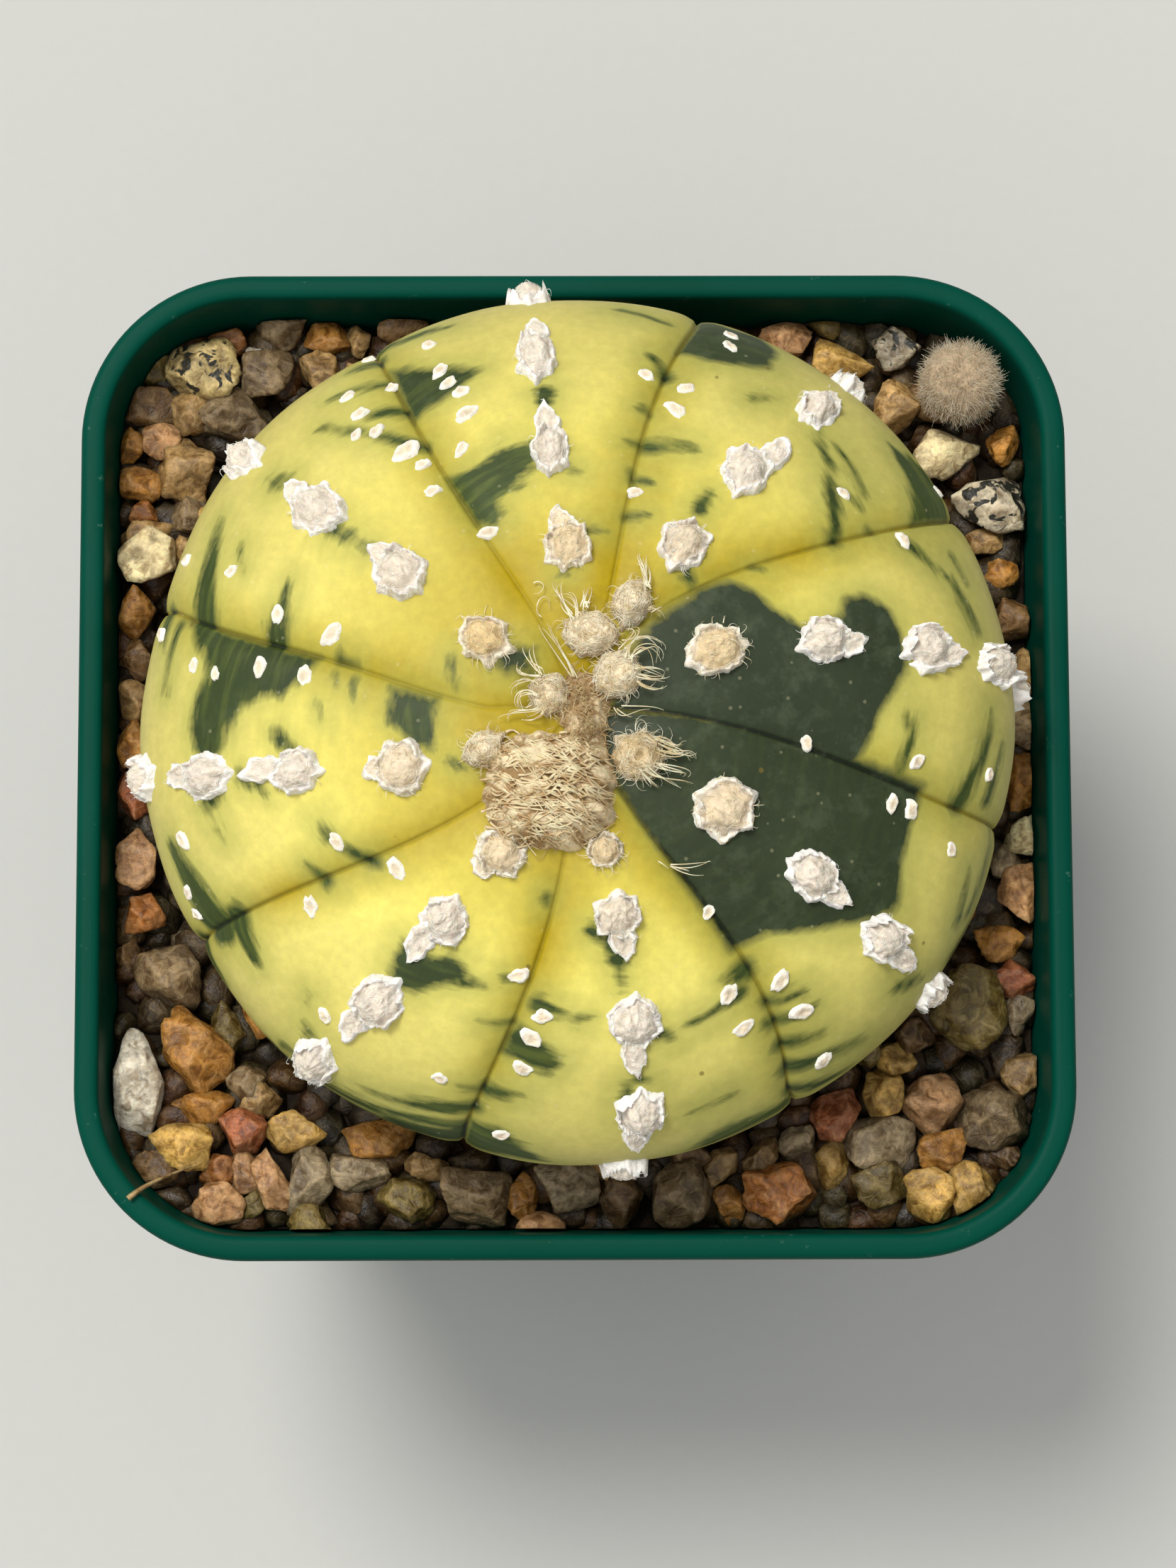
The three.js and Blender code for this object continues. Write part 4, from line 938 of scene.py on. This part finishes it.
for rib, row in enumerate(AREOLES):
    for down, aside, wide, long, tail_aside, tail in row:
        ball = down < BALL_DOWN
        golden = ball and rib == GOLDEN_RIB
        young = GOLDEN if golden else 1 - smoothstep(down, 12, 34)
        turn = rib + 0.5 + aside / rib_width(down)
        tips = [(math.pi + chance.uniform(-0.3, 0.3), 0.2), (chance.uniform(-0.3, 0.3), 0.08)]
        for way in (-1, 1):
            for low in (0.7, 1.8):
                tips.append((chance.uniform(low, low + 0.7) * way, chance.uniform(0.02, 0.22)))
        rise = AREOLE_RISE * (0.85 + 0.15 * smoothstep(down, 5, 30))
        body = (turn, down, wide * 1.06, long * 1.02)
        if ball:
            add_mound("ball", *body, rise * 1.1, young, tips[:2], 420, golden)
        else:
            add_mound("collar", *body, rise, young, tips, 60)
        add_wisps(turn, down, wide, long, rise, young)
        if tail and young < 0.7:
            middle = arc(down) + long / 2 + tail / 2 - 0.8
            tail_down = np.interp(middle, ARC_TABLE, DOWN_TABLE)
            tail_turn = rib + 0.5 + (aside + 0.7 * tail_aside) / rib_width(tail_down)
            add_mound("tail", tail_turn, tail_down, 2.2, tail + 1.9, 0.6, 0.6 * young, [(0.1, 0.3)], 24)
finish("areole_pads", areole_mesh, WOOL, "cactus", merge=1e-3)
hairs("areole_fibres", areole_fibres, WHITE_FIBRE, "cactus", radius=0.022)
hairs("young_areole_fuzz", young_fuzz, STRAW_FIBRE, "cactus", radius=0.024)


def from_stem(x, y):
    """Distance from the stem's axis."""
    return np.hypot(x - STEM_X, y - STEM_Y)


# Hairs that hang from an areole come in clumps of four.
clumps = []
for lift, paths in CROWN_HAIRS:
    for path in paths:
        for copy in range(4 if lift > 0.5 else 1):
            stray = np.array([[chance.gauss(0, 0.15), chance.gauss(0, 0.15)] for _ in path])
            clumps.append((lift, np.array(path) + stray * (copy > 0)))
crown_hairs = []
for lift, path in clumps:
    share = np.linspace(0, 1, len(path))
    spread = np.outer(share, (chance.gauss(0, 0.25), chance.gauss(0, 0.25)))
    curve = np.polyfit(share, path + spread, len(path) - 1)
    along = np.linspace(0, 0.9, 12)
    x, y = [np.polyval(curve[:, axis], along) for axis in (0, 1)]
    reach = from_stem(x, y)
    top = EQUATOR + DOME_HEIGHT * np.sqrt(1 - (reach / STEM_RADIUS) ** 2) - dimple(reach)
    height = 0.25 + lift * (1 - along) + 0.25 * np.sin(np.pi * along)
    crown_hairs.append(list(zip(x, y, top + height)))
hairs("long_crown_hairs", crown_hairs, HAIR_FIBRE, "cactus", radius=0.05)

# Flecks: flat specks of the same wool, longer across the rib than along it
fleck_mesh = bmesh.new()


def add_fleck(turn, down, wide):
    point, side, downhill, out = frame_at(turn, down)
    seed = chance.uniform(0, 90)
    lean = chance.uniform(-0.6, 0.6)
    aside = side * math.cos(lean) + downhill * math.sin(lean)
    along = downhill * math.cos(lean) - side * math.sin(lean)

    def place(u, v):
        angle = 2 * np.pi * u
        reach = v * (1 + 0.4 * ruffle(circle(angle), 0.6, seed))
        height = (0.16 + 0.1 * v ** 2) * np.sqrt(np.maximum(1 - v ** 4, 0)) - 0.15 * (v == 1)
        base = (point + aside * (reach * np.sin(angle) * wide * 0.56)[:, None]
                + along * (reach * np.cos(angle) * wide * 0.36)[:, None])
        return base + out * (height + 0.1 * ruffle(base, 0.35, seed) * (v < 1))[:, None]

    def values(u, v):
        return smoothstep(v, 0.2, 0.9), np.full(u.shape, 0.4)

    grid(fleck_mesh, 16, 5, place, WOOL_VALUES[:2], values)


for groove, row in enumerate(FLECKS):
    for down, off, wide in row:
        add_fleck((groove + off / rib_width(down)) % RIBS, down, wide)
finish("wool_flecks", fleck_mesh, WOOL, "cactus", merge=1e-3)

# Crown tuft: a squarish pad of combed wool, a looser arm up to the middle of the crown, and
# low brown felt between the first areoles. Each lobe has a middle, a low end, half widths, a
# height, a squareness and how pale it is.
PAD = (-1.7, -4.5, 80.6, 4.5, 4, 4.8, 3, 1)
TUFT = (PAD, (0.7, -0.4, 80.4, 1.6, 3.1, 3.5, 2.1, 0.7), (0.5, 1.3, 80.4, 2.2, 2.8, 2.6, 2, 0.2))


def ridges(x, y):
    """The combed wool's ridges at x, y, from about -1 to 1, running mostly along X."""
    bent = y + 0.2 * x + 0.35 * np.sin(1.1 * x) + 0.16 * np.sin(2.9 * x + y)
    combed = np.stack([x * 0.34, bent, 0 * x], -1)
    return 0.9 * ruffle(combed, 0.55, 2) + 0.55 * ruffle(combed, 0.26, 6)


def tuft_top(x, y, lobe):
    """Height of a lobe's top at x, y, before its hairs."""
    mid_x, mid_y, low, half_x, half_y, height, square, _ = lobe
    out = np.abs((x - mid_x) / half_x) ** square + np.abs((y - mid_y) / half_y) ** square
    return low + height * np.maximum(1 - out, 0) ** 0.42


def add_lobe(bm, lobe):
    mid_x, mid_y, low, half_x, half_y, height, square, pale = lobe

    def spread(u, v):
        angle = 2 * np.pi * u
        share = np.minimum(v / 0.92, 1)
        reach = (np.abs(np.cos(angle)) ** square + np.abs(np.sin(angle)) ** square) ** (-1 / square)
        ring = circle(angle)
        reach = reach * (1 + 0.07 * ruffle(ring, 0.35, 4) + 0.05 * ruffle(ring, 0.12, 8)) * share
        return half_x * reach * np.cos(angle), half_y * reach * np.sin(angle), share

    def place(u, v):
        x, y, share = spread(u, v)
        z = low + height * (1 - np.minimum(share, 0.995) ** square) ** 0.42
        z = z + (0.26 * ridges(mid_x + x, mid_y + y) - 0.14) * (share < 0.97)
        z = np.where(v > 0.92, low - 0.2, z)
        return np.stack([mid_x + x * (v < 1), mid_y + y * (v < 1), z], -1)

    def values(u, v):
        x, y, _ = spread(u, v)
        # Ridges take the pale tone and the hollows between them the dark one: partly the wool's own tone,
        # partly painted shade.
        return pale * smoothstep(ridges(mid_x + x, mid_y + y), -0.35, 0.2), np.ones(u.shape)

    grid(bm, 150, 90, place, WOOL_VALUES[:2], values)


tuft = bmesh.new()
for lobe in TUFT:
    add_lobe(tuft, lobe)
finish("crown_tuft", tuft, CROWN_WOOL, "wool_tuft", merge=1e-3)

# Combed fibres lie over the pad, never lower than the first height, and matted ones curl round
# it and over the other lobes, never lower than the second.
COMBED_LOW = 82.9
MATTED_LOW = 82
combed = []
for _ in range(230):
    x = chance.uniform(-1, 1) * 3.5 + PAD[0]
    y = chance.uniform(-1, 1) * 3.6 + PAD[1]
    length = chance.uniform(0.8, 2.4)
    slope = chance.gauss(-0.25, 0.3)
    sway = chance.uniform(-0.5, 0.5)
    strand = []
    for t in (i / 6 for i in range(7)):
        at_x = x + length * (t - 0.5)
        at_y = y + slope * length * (t - 0.5) + sway * math.sin(4 * t)
        top = max(tuft_top(at_x, at_y, PAD), COMBED_LOW)
        strand.append((at_x, at_y, top - 0.02 + 0.1 * math.sin(5 * t + x)))
    combed.append(strand)
hairs("combed_tuft_fibres", combed, BEIGE_FIBRE, "wool_tuft", radius=0.1)
matted = []
for _ in range(420):
    lobe = chance.choice(TUFT)
    angle = chance.uniform(0, 2 * math.pi)
    reach = chance.uniform(0.8, 0.98) if lobe is PAD else chance.uniform(0, 0.95)
    x = lobe[0] + lobe[3] * reach * math.cos(angle)
    y = lobe[1] + lobe[4] * reach * math.sin(angle)
    start = Vector((x, y, max(tuft_top(x, y, lobe), MATTED_LOW)))
    way = 0.55 * Vector((chance.uniform(-1, 1), chance.uniform(-1, 1), chance.uniform(-0.2, 0.3)))
    sway = chance.uniform(-0.4, 0.4)
    matted.append([start + way * t + Vector((sway * math.sin(5 * t), sway * math.cos(4 * t), 0.1))
                   for t in (0, 0.3, 0.6, 0.9, 1.2)])
hairs("matted_crown_fibres", matted, BROWN_FIBRE, "wool_tuft", radius=0.04)

# Woolly fruit: a round head of short grey-brown hair
fruit = bmesh.new()
ball = bmesh.ops.create_icosphere(fruit, subdivisions=5, radius=FRUIT_RADIUS - 0.35)["verts"]
start = np.array([vert.co for vert in ball])
lift = 1 + 0.05 * ruffle(start, 0.9, 1) + 0.03 * ruffle(start, 0.35, 2)
for vert, point in zip(ball, start * lift[:, None] + np.array(FRUIT_PLACE)):
    vert.co = point
finish("fruit_body", fruit, FRUIT_WOOL, "woolly_fruit")
fruit_hairs = []
for _ in range(3600):
    way = Vector((chance.gauss(0, 1), chance.gauss(0, 1), chance.gauss(0.3, 1))).normalized()
    bend = Vector((chance.gauss(0, 1), chance.gauss(0, 1), chance.gauss(0, 1)))
    length = chance.uniform(0.2, 0.5)
    start = Vector(FRUIT_PLACE) + way * (FRUIT_RADIUS - 0.42)
    fruit_hairs.append([start + way * length * t + bend * 0.6 * length * t * t for t in (0, 0.5, 1)])
hairs("fruit_hairs", fruit_hairs, GREY_FIBRE, "woolly_fruit", radius=0.022)

# Dry stalk across the corner of the lip
stalk_points = []
for t in (i / 12 for i in range(13)):
    weights = ((1 - t) ** 3, 3 * t * (1 - t) ** 2, 3 * t * t * (1 - t), t ** 3)
    stalk_points.append(sum((Vector(at) * weight for at, weight in zip(STALK_PATH, weights)), Vector()))
hairs("dry_stalk_piece", [stalk_points], DRY_STALK, "dry_stalk", radius=0.22)

# Stones: closed faceted bodies, each cut by its own set of flat faces
TONES = {
    "white": "#e6dcc6", "cream": "#d8c596", "yellow": "#c9a052", "amber": "#a97530", "orange": "#a0642a",
    "red": "#a66038", "pink": "#bd8f60", "tan": "#ab8853", "brown": "#70532f", "olive": "#75632e",
    "smoky": "#7b6647", "grey": "#998768", "spotted": "#c0a970", "granite": "#a1967f",
}
CUTS = ((1, 0, 0), (-1, 0, 0), (0, 1, 0), (0, -1, 0), (0, 0, 1), (0, 0, -1), (1, 1, 1), (-1, 1, 1),
        (1, -1, 1), (-1, -1, 1), (1, 1, -1), (-1, -1, -1), (1, -1, -1), (-1, 1, -1))
seed_value = 20260


def draw(low, high):
    """The part's own seeded draw, so that the small stones fall in the same places."""
    global seed_value
    seed_value = seed_value * 16807 % 2147483647
    return low + (high - low) * seed_value / 2147483647


def past_corner(x, y):
    """How far a place lies past the middle of the pot's round corners."""
    return math.hypot(max(abs(x) - CORNER_MIDDLE, 0), max(abs(y) - CORNER_MIDDLE, 0))


def stone_places():
    """The named stones, and small ones that fill the room between them, smaller at each turn."""
    for _ in range(3 * sum(len(row) for row in AREOLES) + sum(len(row) for row in FLECKS)):
        draw(0, 1)
    places = list(NAMED_STONES)
    tones = ("amber", "tan", "brown", "yellow", "smoky", "pink", "grey", "olive", "orange", "brown", "tan")
    for size, tries in FILL_TURNS:
        for _ in range(tries):
            x, y = draw(-33, 33), draw(-33, 33)
            wide, tall = size * draw(0.8, 1.2), size * draw(0.8, 1.2)
            free = all(math.hypot(o[0] - x, o[1] - y) > 0.21 * (o[2] + o[3] + wide + tall) for o in places)
            if past_corner(x, y) < POT_CORNER - LIP_WIDTH and from_stem(x, y) >= HIDDEN and free:
                places.append((x, y, wide, tall, chance.choice(tones)))
    return places


def belly(x, y, gap):
    """Height of the stem's underside over a place, less a gap."""
    reach = from_stem(x, y) / (STEM_RADIUS + STONE_GAP)
    return EQUATOR - (BELLY_HEIGHT + gap) * np.sqrt(np.maximum(1 - reach ** 2, 0))


def keep_inside(points):
    """Moves points that reach the pot's wall, the stem's belly or the fruit back from them."""
    shrink = (COLLAR_LOW - points[:, 2]) * 0.15
    limit = POT_CORNER - LIP_WIDTH - 0.5 - np.maximum(shrink, 0)
    corner = np.maximum(np.abs(points[:, :2]) - CORNER_MIDDLE, 0)
    far = np.linalg.norm(corner, axis=1)
    pull = np.where(far > limit, limit / np.maximum(far, 1e-6), 1)
    moved = np.minimum(np.abs(points[:, :2]), CORNER_MIDDLE) + corner * pull[:, None]
    points[:, :2] = np.sign(points[:, :2]) * moved
    points[:, 2] = np.minimum(points[:, 2], belly(points[:, 0], points[:, 1], STONE_GAP))
    from_fruit = points - np.array(FRUIT_PLACE)
    near = np.linalg.norm(from_fruit, axis=1)
    push = np.where(near < FRUIT_RADIUS, FRUIT_RADIUS / np.maximum(near, 0.2), 1)
    return np.array(FRUIT_PLACE) + from_fruit * push[:, None]


def add_stone(bm, place, size, tone, detail, dim):
    """Adds a stone with its middle at a place, of a size in mm each way."""
    tints, lots, specks, edges = value_layers(bm, tint="float_color", lot="float", speckled="float",
                                              edge="float")
    verts = bmesh.ops.create_icosphere(bm, subdivisions=detail, radius=1)["verts"]
    ways = np.array([vert.co for vert in verts])
    ways /= np.linalg.norm(ways, axis=1, keepdims=True)
    faces = np.array([(Vector(way).normalized() + 0.5 * any_vector()).normalized() for way in CUTS])
    heights = np.array([chance.uniform(0.62, 1.05) for _ in faces])
    power = chance.choice((16, 30, 50, 80))
    facing = np.maximum(ways @ faces.T, 0) / heights
    body = ways * ((facing ** power).sum(1) ** (-1 / power))[:, None]
    # Its edges, where two faces lie as near, are paler: partly wear, partly painted highlight.
    ranked = np.sort(facing, axis=1)
    wear_and_highlight = smoothstep(ranked[:, -2] / ranked[:, -1], 0.86, 0.99)
    lot = chance.uniform(0, 50)
    if detail > 2:
        dents = np.maximum(ruffle(body, 0.6, lot + 7) - 0.25, 0)
        body *= (1 + 0.13 * ruffle(body, 0.7, lot) + 0.05 * ruffle(body, 0.3, lot) - 0.3 * dents)[:, None]
    body = body @ np.array(Matrix.Rotation(chance.uniform(0, 6.28), 3, any_vector()))
    body -= (body.max(0) + body.min(0)) / 2
    body /= (body.max(0) - body.min(0)) / 2
    body = body * np.array(size) / 2 * (1.2 - 0.04 * max(size[0] + size[1] - 7, 0)) + np.array(place)
    body = keep_inside(body)
    shade = dim * chance.uniform(0.75, 1.2)
    tint = (*[min(channel * shade, 1) for channel in colour(TONES[tone])[:3]], 1)
    for vert, point, edge in zip(verts, body, wear_and_highlight):
        vert.co = point
        vert[edges] = edge
        vert[tints] = tint
        vert[lots] = lot
        vert[specks] = float(tone in ("spotted", "granite"))


stones = bmesh.new()
chips = bmesh.new()
for index, (x, y, wide, tall, tone) in enumerate(stone_places()):
    thick = 0.8 * min(wide, tall, 4)
    named = index < len(NAMED_STONES)
    detail = 4 if named else 3 if wide > 2.4 else 2
    # The stones are paler along the right-hand wall, and darker along the near one as painted shadow of the
    # stem.
    paler = 0.5 * smoothstep(x, 25, 31) * smoothstep(y, -16, -6)
    browner_and_shaded = 0.25 * smoothstep(-y, 16, 24) * smoothstep(x, -16, -6)
    add_stone(stones if named else chips, (x, y, BED_TOP + 0.3 * thick), (wide, tall, thick), tone, detail,
              1 + paler - browner_and_shaded)
finish("gravel_stones", stones, GRAVEL, "gravel")
finish("gravel_chips", chips, GRAVEL, "gravel")

# A lower layer that shows in the gaps: chips dimmed as painted shade, half sunk in a dark bed
under_layer = bmesh.new()
under_places = []
for _ in range(6000):
    x, y = chance.uniform(-UNDER_HALF, UNDER_HALF), chance.uniform(-UNDER_HALF, UNDER_HALF)
    size = chance.uniform(1.8, 3.2)
    free = all(math.hypot(o[0] - x, o[1] - y) > 0.33 * (o[2] + size) for o in under_places)
    if from_stem(x, y) > HIDDEN and free and past_corner(x, y) < 9.8:
        under_places.append((x, y, size))
        long = size * chance.uniform(0.8, 1.3)
        tone = chance.choice(("brown", "amber", "smoky", "olive", "orange", "tan"))
        add_stone(under_layer, (x, y, BED_TOP - 0.8), (size, long, size * 0.9), tone, 2, 0.29)
finish("gravel_under_layer", under_layer, GRAVEL, "gravel")


def rounded_square(share, half, corner):
    """A point of a square outline with round corners for a share of the way round it."""
    share = np.asarray(share) % 1
    quarter = np.floor(share * 4)
    within = share * 4 - quarter
    inset = half - corner
    # Each quarter is half of a side, a corner, and half of the next side.
    turn = np.clip((within - 0.3) / 0.4, 0, 1) * np.pi / 2
    side_1 = inset * (1 - np.clip(1 - within / 0.3, 0, 1))
    side_2 = inset * (1 - np.clip((within - 0.7) / 0.3, 0, 1))
    x = np.where(within > 0.7, side_2, inset + corner * np.cos(turn))
    y = np.where(within < 0.3, side_1, inset + corner * np.sin(turn))
    spin = quarter * np.pi / 2
    return x * np.cos(spin) - y * np.sin(spin), x * np.sin(spin) + y * np.cos(spin)


# Dark bed under the stones, a ring that leaves room for the root; its near-black tone is painted shade in
# the gaps.
BED_ROWS = 60
BED_HOLE = 7


def bed_place(u, v):
    x_out, y_out = rounded_square(u, UNDER_HALF, 9.6)
    angle = np.arctan2(y_out, x_out)
    x_in, y_in = STEM_X + BED_HOLE * np.cos(angle), STEM_Y + BED_HOLE * np.sin(angle)
    step = np.rint(v * BED_ROWS)
    share = np.where(step == BED_ROWS, 0, np.clip((step - 2) / (BED_ROWS - 4), 0, 1))
    x, y = x_in + (x_out - x_in) * share, y_in + (y_out - y_in) * share
    z = BED_TOP - 0.9 + 0.35 * ruffle(np.stack([x, y, 0 * x], -1), 1.1, 5)
    z = np.minimum(z, belly(x, y, STONE_GAP + 0.3))
    shut = (step <= 1) | (step >= BED_ROWS - 1)
    return np.stack([x, y, np.where(shut, MIX_TOP + 0.3, z)], -1)


bed = bmesh.new()
grid(bed, 220, BED_ROWS, bed_place)
finish("gravel_bed", bed, GAP_SHADE_BED, "gravel", merge=1e-3)


def wall_at(z, inset=0):
    """Half width, corner radius and height of the tapered wall, or of a face inside it."""
    up = min(z / COLLAR_LOW, 1)
    half = FOOT_HALF + (POT_HALF - LIP_WIDTH + WALL - 0.5 - FOOT_HALF) * up
    corner = FOOT_CORNER + (POT_CORNER - LIP_WIDTH + WALL - FOOT_CORNER) * up
    return (half - inset, corner - inset, z)


def ring_at(z, inset):
    """The same for a ring of the collar, inset from its widest line."""
    return (POT_HALF - inset, POT_CORNER - inset, z)


# Pot: one closed shell, then its feet and drain holes are cut. The skirt is given as heights and
# insets of its rings, the collar as rises from its low edge, and the lip as drops from its top.
SKIRT = ((BASE_LOW - 0.2, SKIRT_WALL + 0.3), (0.3, SKIRT_WALL), (0.05, SKIRT_WALL - 0.2),
         (0, SKIRT_WALL - 0.5), (0, 0.4), (0.12, 0.1))
COLLAR = ((-0.75, 1.15), (-0.25, 0.5), (0, 0.34), (0.4, 0.28), (3.5, 0.12))
LIP = ((0.95, 0), (0.5, 0.03), (0.26, 0.12), (0.1, 0.28), (0.02, 0.5), (0, 0.75), (0, 1.1), (0.02, 1.36),
       (0.1, 1.56), (0.28, 1.7), (0.7, 1.78), (1.2, 1.82), (4, 2))
pot_rows = [(0.02, 0.01, BASE_LOW), (12, 4, BASE_LOW), (FOOT_HALF - SKIRT_WALL - 0.2, 6.1, BASE_LOW)]
pot_rows += [wall_at(z, inset) for z, inset in SKIRT]
pot_rows += [wall_at(z) for z in np.linspace(0.5, COLLAR_LOW - 1.2, 24)]
pot_rows += [ring_at(COLLAR_LOW + rise, inset) for rise, inset in COLLAR]
pot_rows += [ring_at(POT_HEIGHT - drop, inset) for drop, inset in LIP]
pot_rows += [wall_at(z, WALL) for z in np.linspace(COLLAR_LOW, BASE_HIGH + 0.4, 20)]
pot_rows += [wall_at(BASE_HIGH, WALL + 0.5), (12, 4, BASE_HIGH), (0.02, 0.01, BASE_HIGH)]


def pot_points(u, v):
    half, corner, height = np.array(pot_rows)[np.rint(v * (len(pot_rows) - 1)).astype(int)].T
    return np.stack([*rounded_square(u, half, corner), height], -1)


shell = bmesh.new()
grid(shell, 240, len(pot_rows) - 1, pot_points)
pot = finish("nursery_pot", shell, PLASTIC, "pot", merge=0.002)


def cut(target, bm):
    """Cuts a shape out of a piece with a Boolean and makes the result the piece's own mesh."""
    cutter = add_object("cutter", mesh_of("cutter", bm))
    change = target.modifiers.new("cut", "BOOLEAN")
    change.object = cutter
    change.operation = "DIFFERENCE"
    result = final_mesh(target)
    target.modifiers.remove(change)
    target.data = result
    bpy.data.objects.remove(cutter)


notches = bmesh.new()
for size in ((3 * FOOT_HALF, NOTCH_WIDTH), (NOTCH_WIDTH, 3 * FOOT_HALF)):
    block = bmesh.ops.create_cube(notches, size=1)["verts"]
    bmesh.ops.scale(notches, vec=(*size, 2 * (BASE_LOW - 0.4)), verts=block)
cut(pot, notches)
drains = bmesh.new()
for x, y in ((0, 0), (1, 1), (1, -1), (-1, 1), (-1, -1)):
    hole = bmesh.ops.create_cone(drains, cap_ends=True, segments=48, radius1=DRAIN_RADIUS,
                                 radius2=DRAIN_RADIUS, depth=4)["verts"]
    bmesh.ops.translate(drains, vec=(x * DRAIN_RING, y * DRAIN_RING, (BASE_LOW + BASE_HIGH) / 2), verts=hole)
cut(pot, drains)
pot.data.set_sharp_from_angle(angle=math.radians(40))

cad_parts["potting_mix"].data.materials.clear()
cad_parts["potting_mix"].data.materials.append(PEAT)

# Floor of matt painted board, pale grey
plane = bmesh.new()
bmesh.ops.create_grid(plane, x_segments=1, y_segments=1, size=1.5)
floor = add_object("floor", mesh_of("floor", plane, scale=1))
board, tree, shader = material("matt_painted_board", Roughness=0.9)
place = node(tree, "TexCoord", output="Object")
speckle = node(tree, "TexNoise", {"Vector": place, "Scale": 900, "Detail": 3})
tone = node(tree, "Mix", {0: speckle, 6: "#babab5", 7: "#bdbdb8"}, 2, data_type="RGBA")
link(tree, shader, {"Base Color": tone})
floor.data.materials.append(board)

# Room light falls mostly from the pale ceiling and the window's side; the other walls are darker.
scene = bpy.context.scene
scene.view_settings.view_transform = "Standard"
world = bpy.data.worlds.new("room")
world.use_nodes = True
room = world.node_tree
toward = node(room, "TexCoord", output="Generated")
toward_x, toward_z = [node(room, "SeparateXYZ", (toward,), axis) for axis in "XZ"]
ceiling = node(room, "MapRange", (toward_z, 0, 0.8, 0.1, 0.95))
window_side = node(room, "Math", (toward_x, -0.65, 1), operation="MULTIPLY_ADD")
strength = node(room, "Math", (ceiling, window_side), operation="MULTIPLY")
link(room, room.nodes["Background"], {"Color": (0.98, 0.985, 1, 1), "Strength": strength})
scene.world = world
light = bpy.data.lights.new("window", "SUN")
light.energy = 2.3
light.angle = math.radians(19)
light.color = (1, 0.985, 0.95)
window = add_object("window", light)
window.rotation_euler = Vector((-19, 23, 65)).to_track_quat("Z", "Y").to_euler()

# The camera looks almost straight down.
aim = Vector((0.93, -1.75, 65))
eye = Vector((-1.69, -40.91, 362.42))
roll = math.radians(0.2)
forward = (aim - eye).normalized()
right = forward.cross(Vector((math.sin(roll), math.cos(roll), 0))).normalized()
up = right.cross(forward)
view = bpy.data.cameras.new("camera")
view.lens = 98
view.sensor_width = 36
view.clip_start = 0.01
camera = add_object("camera", view)
camera.matrix_world = Matrix.Translation(eye * MM) @ Matrix((right, up, -forward)).transposed().to_4x4()
scene.camera = camera
